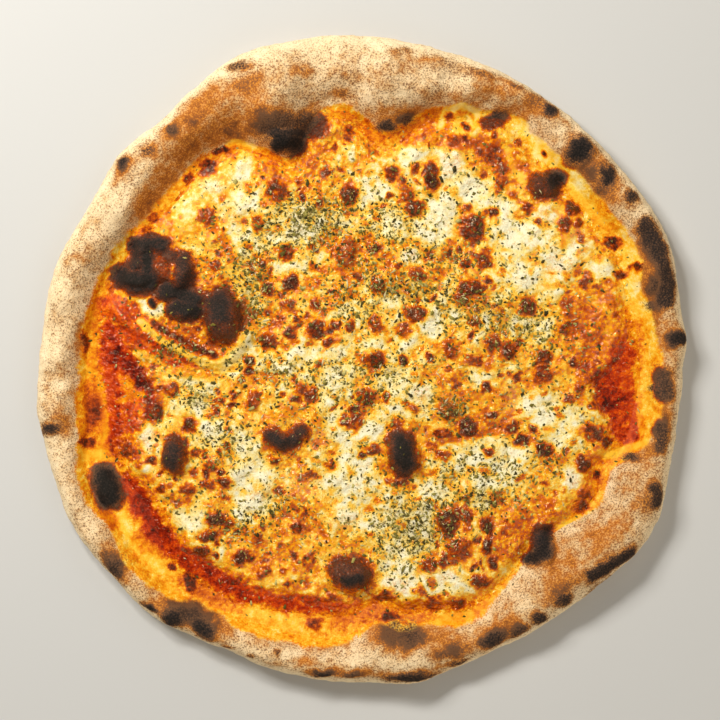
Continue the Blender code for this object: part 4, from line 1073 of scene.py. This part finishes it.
def cheese_lumps(x, y):
    """Lumps where it pooled, strands and pits where it ran, and the blisters as low domes."""
    lumps = 0.5 * np.sin(0.21 * x + 0.11 * y) * np.sin(0.17 * y - 0.08 * x + 1.3)
    lumps += 0.35 * np.sin(0.37 * x - 0.29 * y + 2.2)
    lumps += 0.9 * layered_noise(x, y, 9.0, 81) + 0.35 * soft_noise(x, y, 2.6, 85)
    return lumps + blister_domes(x, y)


def cheese_height(x, y):
    """The top of the cheese: the sauce, the tapering thickness, the lumps and the swollen char."""
    full = layer_taper(x, y, cheese_radius)
    thickness = CHEESE_EDGE_THICKNESS + (CHEESE_THICKNESS - CHEESE_EDGE_THICKNESS) * full
    thickness += cheese_lumps(x, y) * (0.25 + 0.75 * full) + char_rise(x, y) * full
    return sauce_height(x, y) + CHEESE_GAP + thickness


def cheese_under(x, y):
    """The underside of the cheese: sunk a little into the sauce, and always below its own top."""
    return np.minimum(sauce_height(x, y), cheese_height(x, y)) - CHEESE_LEAST_THICKNESS


def small_blisters():
    """Rows of small browned spots at random places, paler where they fall on thick cream."""
    draw = np.random.default_rng(77)
    turn, reach = draw.uniform(0, 360, SMALL_BLISTERS), np.sqrt(draw.uniform(0, 1, SMALL_BLISTERS))
    reach = reach * (cheese_radius(turn) - CLEAR_OF_EDGE)
    x, y = reach * np.cos(np.radians(turn)), reach * np.sin(np.radians(turn))
    strength = draw.uniform(*SMALL_BLISTER_SHADES, SMALL_BLISTERS)
    strength *= 1 - 0.75 * spots(x, y, CREAM, SOFT_EDGE)
    sizes = draw.uniform(*SMALL_BLISTER_SIZES, (2, SMALL_BLISTERS))
    px, py = x / MM_PER_PIXEL + PIZZA_IN_PHOTO[0], PIZZA_IN_PHOTO[1] - y / MM_PER_PIXEL
    return list(zip(px, py, *sizes, draw.uniform(0, 180, SMALL_BLISTERS), strength))


PINK_OIL, HERB_DUST = (236, 160, 108), (138, 114, 32)


def cheese_finish(tree):
    """Cream to dark brown, tinted pink in parts and grained as curds, under an olive dust of herb."""
    fine = grain(tree, 1300.0, 3.0, 0.65)
    coarse = grain(tree, 430.0, 4.0, 0.65)
    place = lay_node(tree, "ShaderNodeTexCoord", {}, {})["Object"]
    sockets = {"Vector": place, "Scale": 330.0}
    curds = lay_node(tree, "ShaderNodeTexVoronoi", {"feature": "SMOOTH_F1"}, sockets)["Distance"]
    mixed = sum_of(tree, coarse, sum_of(tree, -0.4, curds, 1.0), 0.4)
    colour = oven_colour(tree, mixed, fine, 0.95)
    pink = sum_of(tree, mask_of(tree, "pink"), sum_of(tree, -1.0, fine, 2.0), 1.5)
    pink = sum_of(tree, pink, sum_of(tree, -0.5, coarse, 1.0), 3.0)
    colour = blend(tree, ease(tree, pink, 0.5, 2.4), colour, PINK_OIL)
    dust = sum_of(tree, mask_of(tree, "herb"), sum_of(tree, -0.5, grain(tree, 1700.0, 2.0), 1.0), 1.6)
    colour = blend(tree, ease(tree, dust, 0.6, 1.9), colour, HERB_DUST)
    colour, black = charred(tree, colour, fine, 1.5)
    wet = ease(tree, mask_of(tree, "cook_and_shade"), 0.14, 0.44)
    roughness = sum_of(tree, between(tree, wet, 0.38, 0.1), black, 0.7)
    dry = sum_of(tree, sum_of(tree, sum_of(tree, 0.2, coarse, 0.6), fine, 0.45), curds, -0.4)
    melted = sum_of(tree, grain(tree, 560.0, 0.6), fine, 0.08)
    height = blend(tree, sum_of(tree, wet, black, -0.9), dry, melted)
    depth, gloss = 1.3 * MM, 0.42
    return colour, roughness, height, depth, gloss


cheese_points, cheese_faces = layer_shape(CHEESE_CELLS, cheese_radius, cheese_height, cheese_under)
cx, cy = cheese_points[:, 0], cheese_points[:, 1]
cream = spots(cx, cy, CREAM, SOFT_EDGE)
orange = spots(cx, cy, ORANGE, SOFT_EDGE)

# How cooked the cheese is between its blisters. The hollows between its lumps run with oil and
# cook more than the lumps do, as do the oily areas and the edge, and thick cream hardly cooks.
wander = 0.5 * layered_noise(cx, cy, 9.0, 91) - 0.8 * layered_noise(cx, cy, 9.0, 81)
cook_and_shade = CHEESE_COOK + 0.34 * wander - 0.14 * soft_noise(cx, cy, 2.6, 85)
cook_and_shade = cook_and_shade + (OILY_COOK + 0.16 * wander - cook_and_shade) * 0.8 * orange
cook_and_shade = cook_and_shade + (0.06 * wander - cook_and_shade) * 0.95 * cream
edge = 1 - layer_taper(cx, cy, cheese_radius)
cook_and_shade = cook_and_shade + (OILY_COOK + 0.14 * wander - cook_and_shade) * 0.6 * edge

masks = oven_marks(cx, cy, cook_and_shade, np.zeros_like(cx), small_blisters())
masks["pink"] = np.maximum(LEAST_PINK, spots(cx, cy, PINKISH, SOFT_EDGE))
# The herb mask also carries the painted shade of the patch at (250, 285).
masks["herb"] = spots(cx, cy, HERB_AND_SHADE, SOFT_EDGE)
browned = finish_of("browned_cheese", cheese_finish)
cheese = new_piece("melted_cheese_layer", cheese_points, cheese_faces, masks, browned)
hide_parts("melted_cheese")


# The dried oregano
# Crushed leaves and bits of stalk, strewn by hand before baking. They lie thick in places and
# thin towards the rim, some dark, some olive and some bleached to straw.
LEAF_COUNT, STALK_COUNT, TRIES_PER_FLAKE, PROUD, TIPPING = 10500, 1300, 14, 0.08, 0.22
THINLY_STREWN, MORE_IN_PATCHES = 0.17, 0.7


def topping_height(x, y):
    """The height of whatever lies uppermost: cheese, then sauce, then dough."""
    direction, radius = polar(x, y)
    top = np.where(radius < sauce_radius(direction), sauce_height(x, y), dough_height(x, y))
    return np.where(radius < cheese_radius(direction), cheese_height(x, y), top)


def herb_places(count, seed):
    """Random places, kept where a draw falls under the herb's thickness there."""
    draw = np.random.default_rng(seed)
    tries = TRIES_PER_FLAKE * count
    turn, share = draw.uniform(0, 360, tries), np.sqrt(draw.uniform(0, 1, tries))
    radius = share * (sauce_radius(turn) + 3)
    x, y = radius * np.cos(np.radians(turn)), radius * np.sin(np.radians(turn))
    thickness = THINLY_STREWN + MORE_IN_PATCHES * spots(x, y, HERB_AND_SHADE, SOFT_EDGE)
    thickness *= 1 - 0.85 * smooth_step((share - 0.72) / 0.2)
    thickness *= 1 - 0.9 * smooth_step(char_level(photo_place(x, y)) / 0.5)
    kept = draw.uniform(0, 1, len(x)) < thickness
    return x[kept][:count], y[kept][:count], draw


def flake_shape(count, corners, length, width, thickness, seed):
    """Flat prisms with uneven corners, each laid on the topping's slope and a little tipped."""
    x, y, draw = herb_places(count, seed)
    count = len(x)
    turn = np.linspace(0, 2 * np.pi, corners, endpoint=False)
    turn = turn + draw.uniform(-0.35, 0.35, (count, corners))
    reach = draw.uniform(0.65, 1.15, (count, corners))
    size = draw.gamma(4.0, 0.25, (count, 1))
    along, across = length * size * reach * np.cos(turn) / 2, width * size * reach * np.sin(turn) / 2
    spin = draw.uniform(0, 2 * np.pi, (count, 1))
    dx = along * np.cos(spin) - across * np.sin(spin)
    dy = along * np.sin(spin) + across * np.cos(spin)
    height, step = topping_height(x, y), 0.4
    slope_x = (topping_height(x + step, y) - height) / step + draw.normal(0, TIPPING, count)
    slope_y = (topping_height(x, y + step) - height) / step + draw.normal(0, TIPPING, count)
    curl = 0.12 * size * draw.uniform(-1, 1, (count, corners))
    lie = height[:, None] + slope_x[:, None] * dx + slope_y[:, None] * dy + curl
    half = thickness / 2 * np.ones((count, corners))
    px, py = x[:, None] + dx, y[:, None] + dy
    rings = [np.stack([px, py, lie + lift], -1) for lift in (PROUD + half, PROUD - half)]
    points = np.concatenate(rings, 1).reshape(-1, 3)
    first = np.arange(count)[:, None] * 2 * corners
    upper = first + np.arange(corners)
    lower = upper + corners
    after = first + np.roll(np.arange(corners), -1)
    sides = np.stack([upper, lower, after + corners, after], -1).reshape(-1, 4)
    tone = np.repeat(draw.uniform(0, 1, count), 2 * corners)
    return points, [upper, lower[:, ::-1], sides], {"tone": tone}


def herb_finish(stops):
    """The build function of a dry herb: each flake has its own tone, a little mottled."""
    def build(tree):
        mottled = sum_of(tree, -0.5, grain(tree, 1800.0), 1.0)
        colour = ramp(tree, sum_of(tree, mask_of(tree, "tone"), mottled, 0.25), stops)
        rough = ease(tree, grain(tree, 900.0), -1.5, 1.2)
        depth, gloss = 0.2 * MM, 0.3
        return colour, rough, grain(tree, 2500.0), depth, gloss
    return build


leaf_stops = (
    (0.0, (52, 46, 24)), (0.3, (90, 80, 34)), (0.55, (128, 116, 48)), (0.8, (158, 146, 68)),
    (1.0, (208, 194, 122)),
)
stalk_stops = ((0.0, (120, 100, 54)), (0.5, (196, 176, 116)), (1.0, (236, 222, 172)))
for name, count, corners, length, width, thickness, seed, stops in (
    ("oregano_leaf_crumbs", LEAF_COUNT, 5, 1.45, 0.75, 0.2, 301, leaf_stops),
    ("oregano_stalk_bits", STALK_COUNT, 4, 2.0, 0.5, 0.35, 302, stalk_stops),
):
    points, faces, masks = flake_shape(count, corners, length, width, thickness, seed)
    flakes = new_piece(name, points, faces, masks, finish_of(name, herb_finish(stops)))
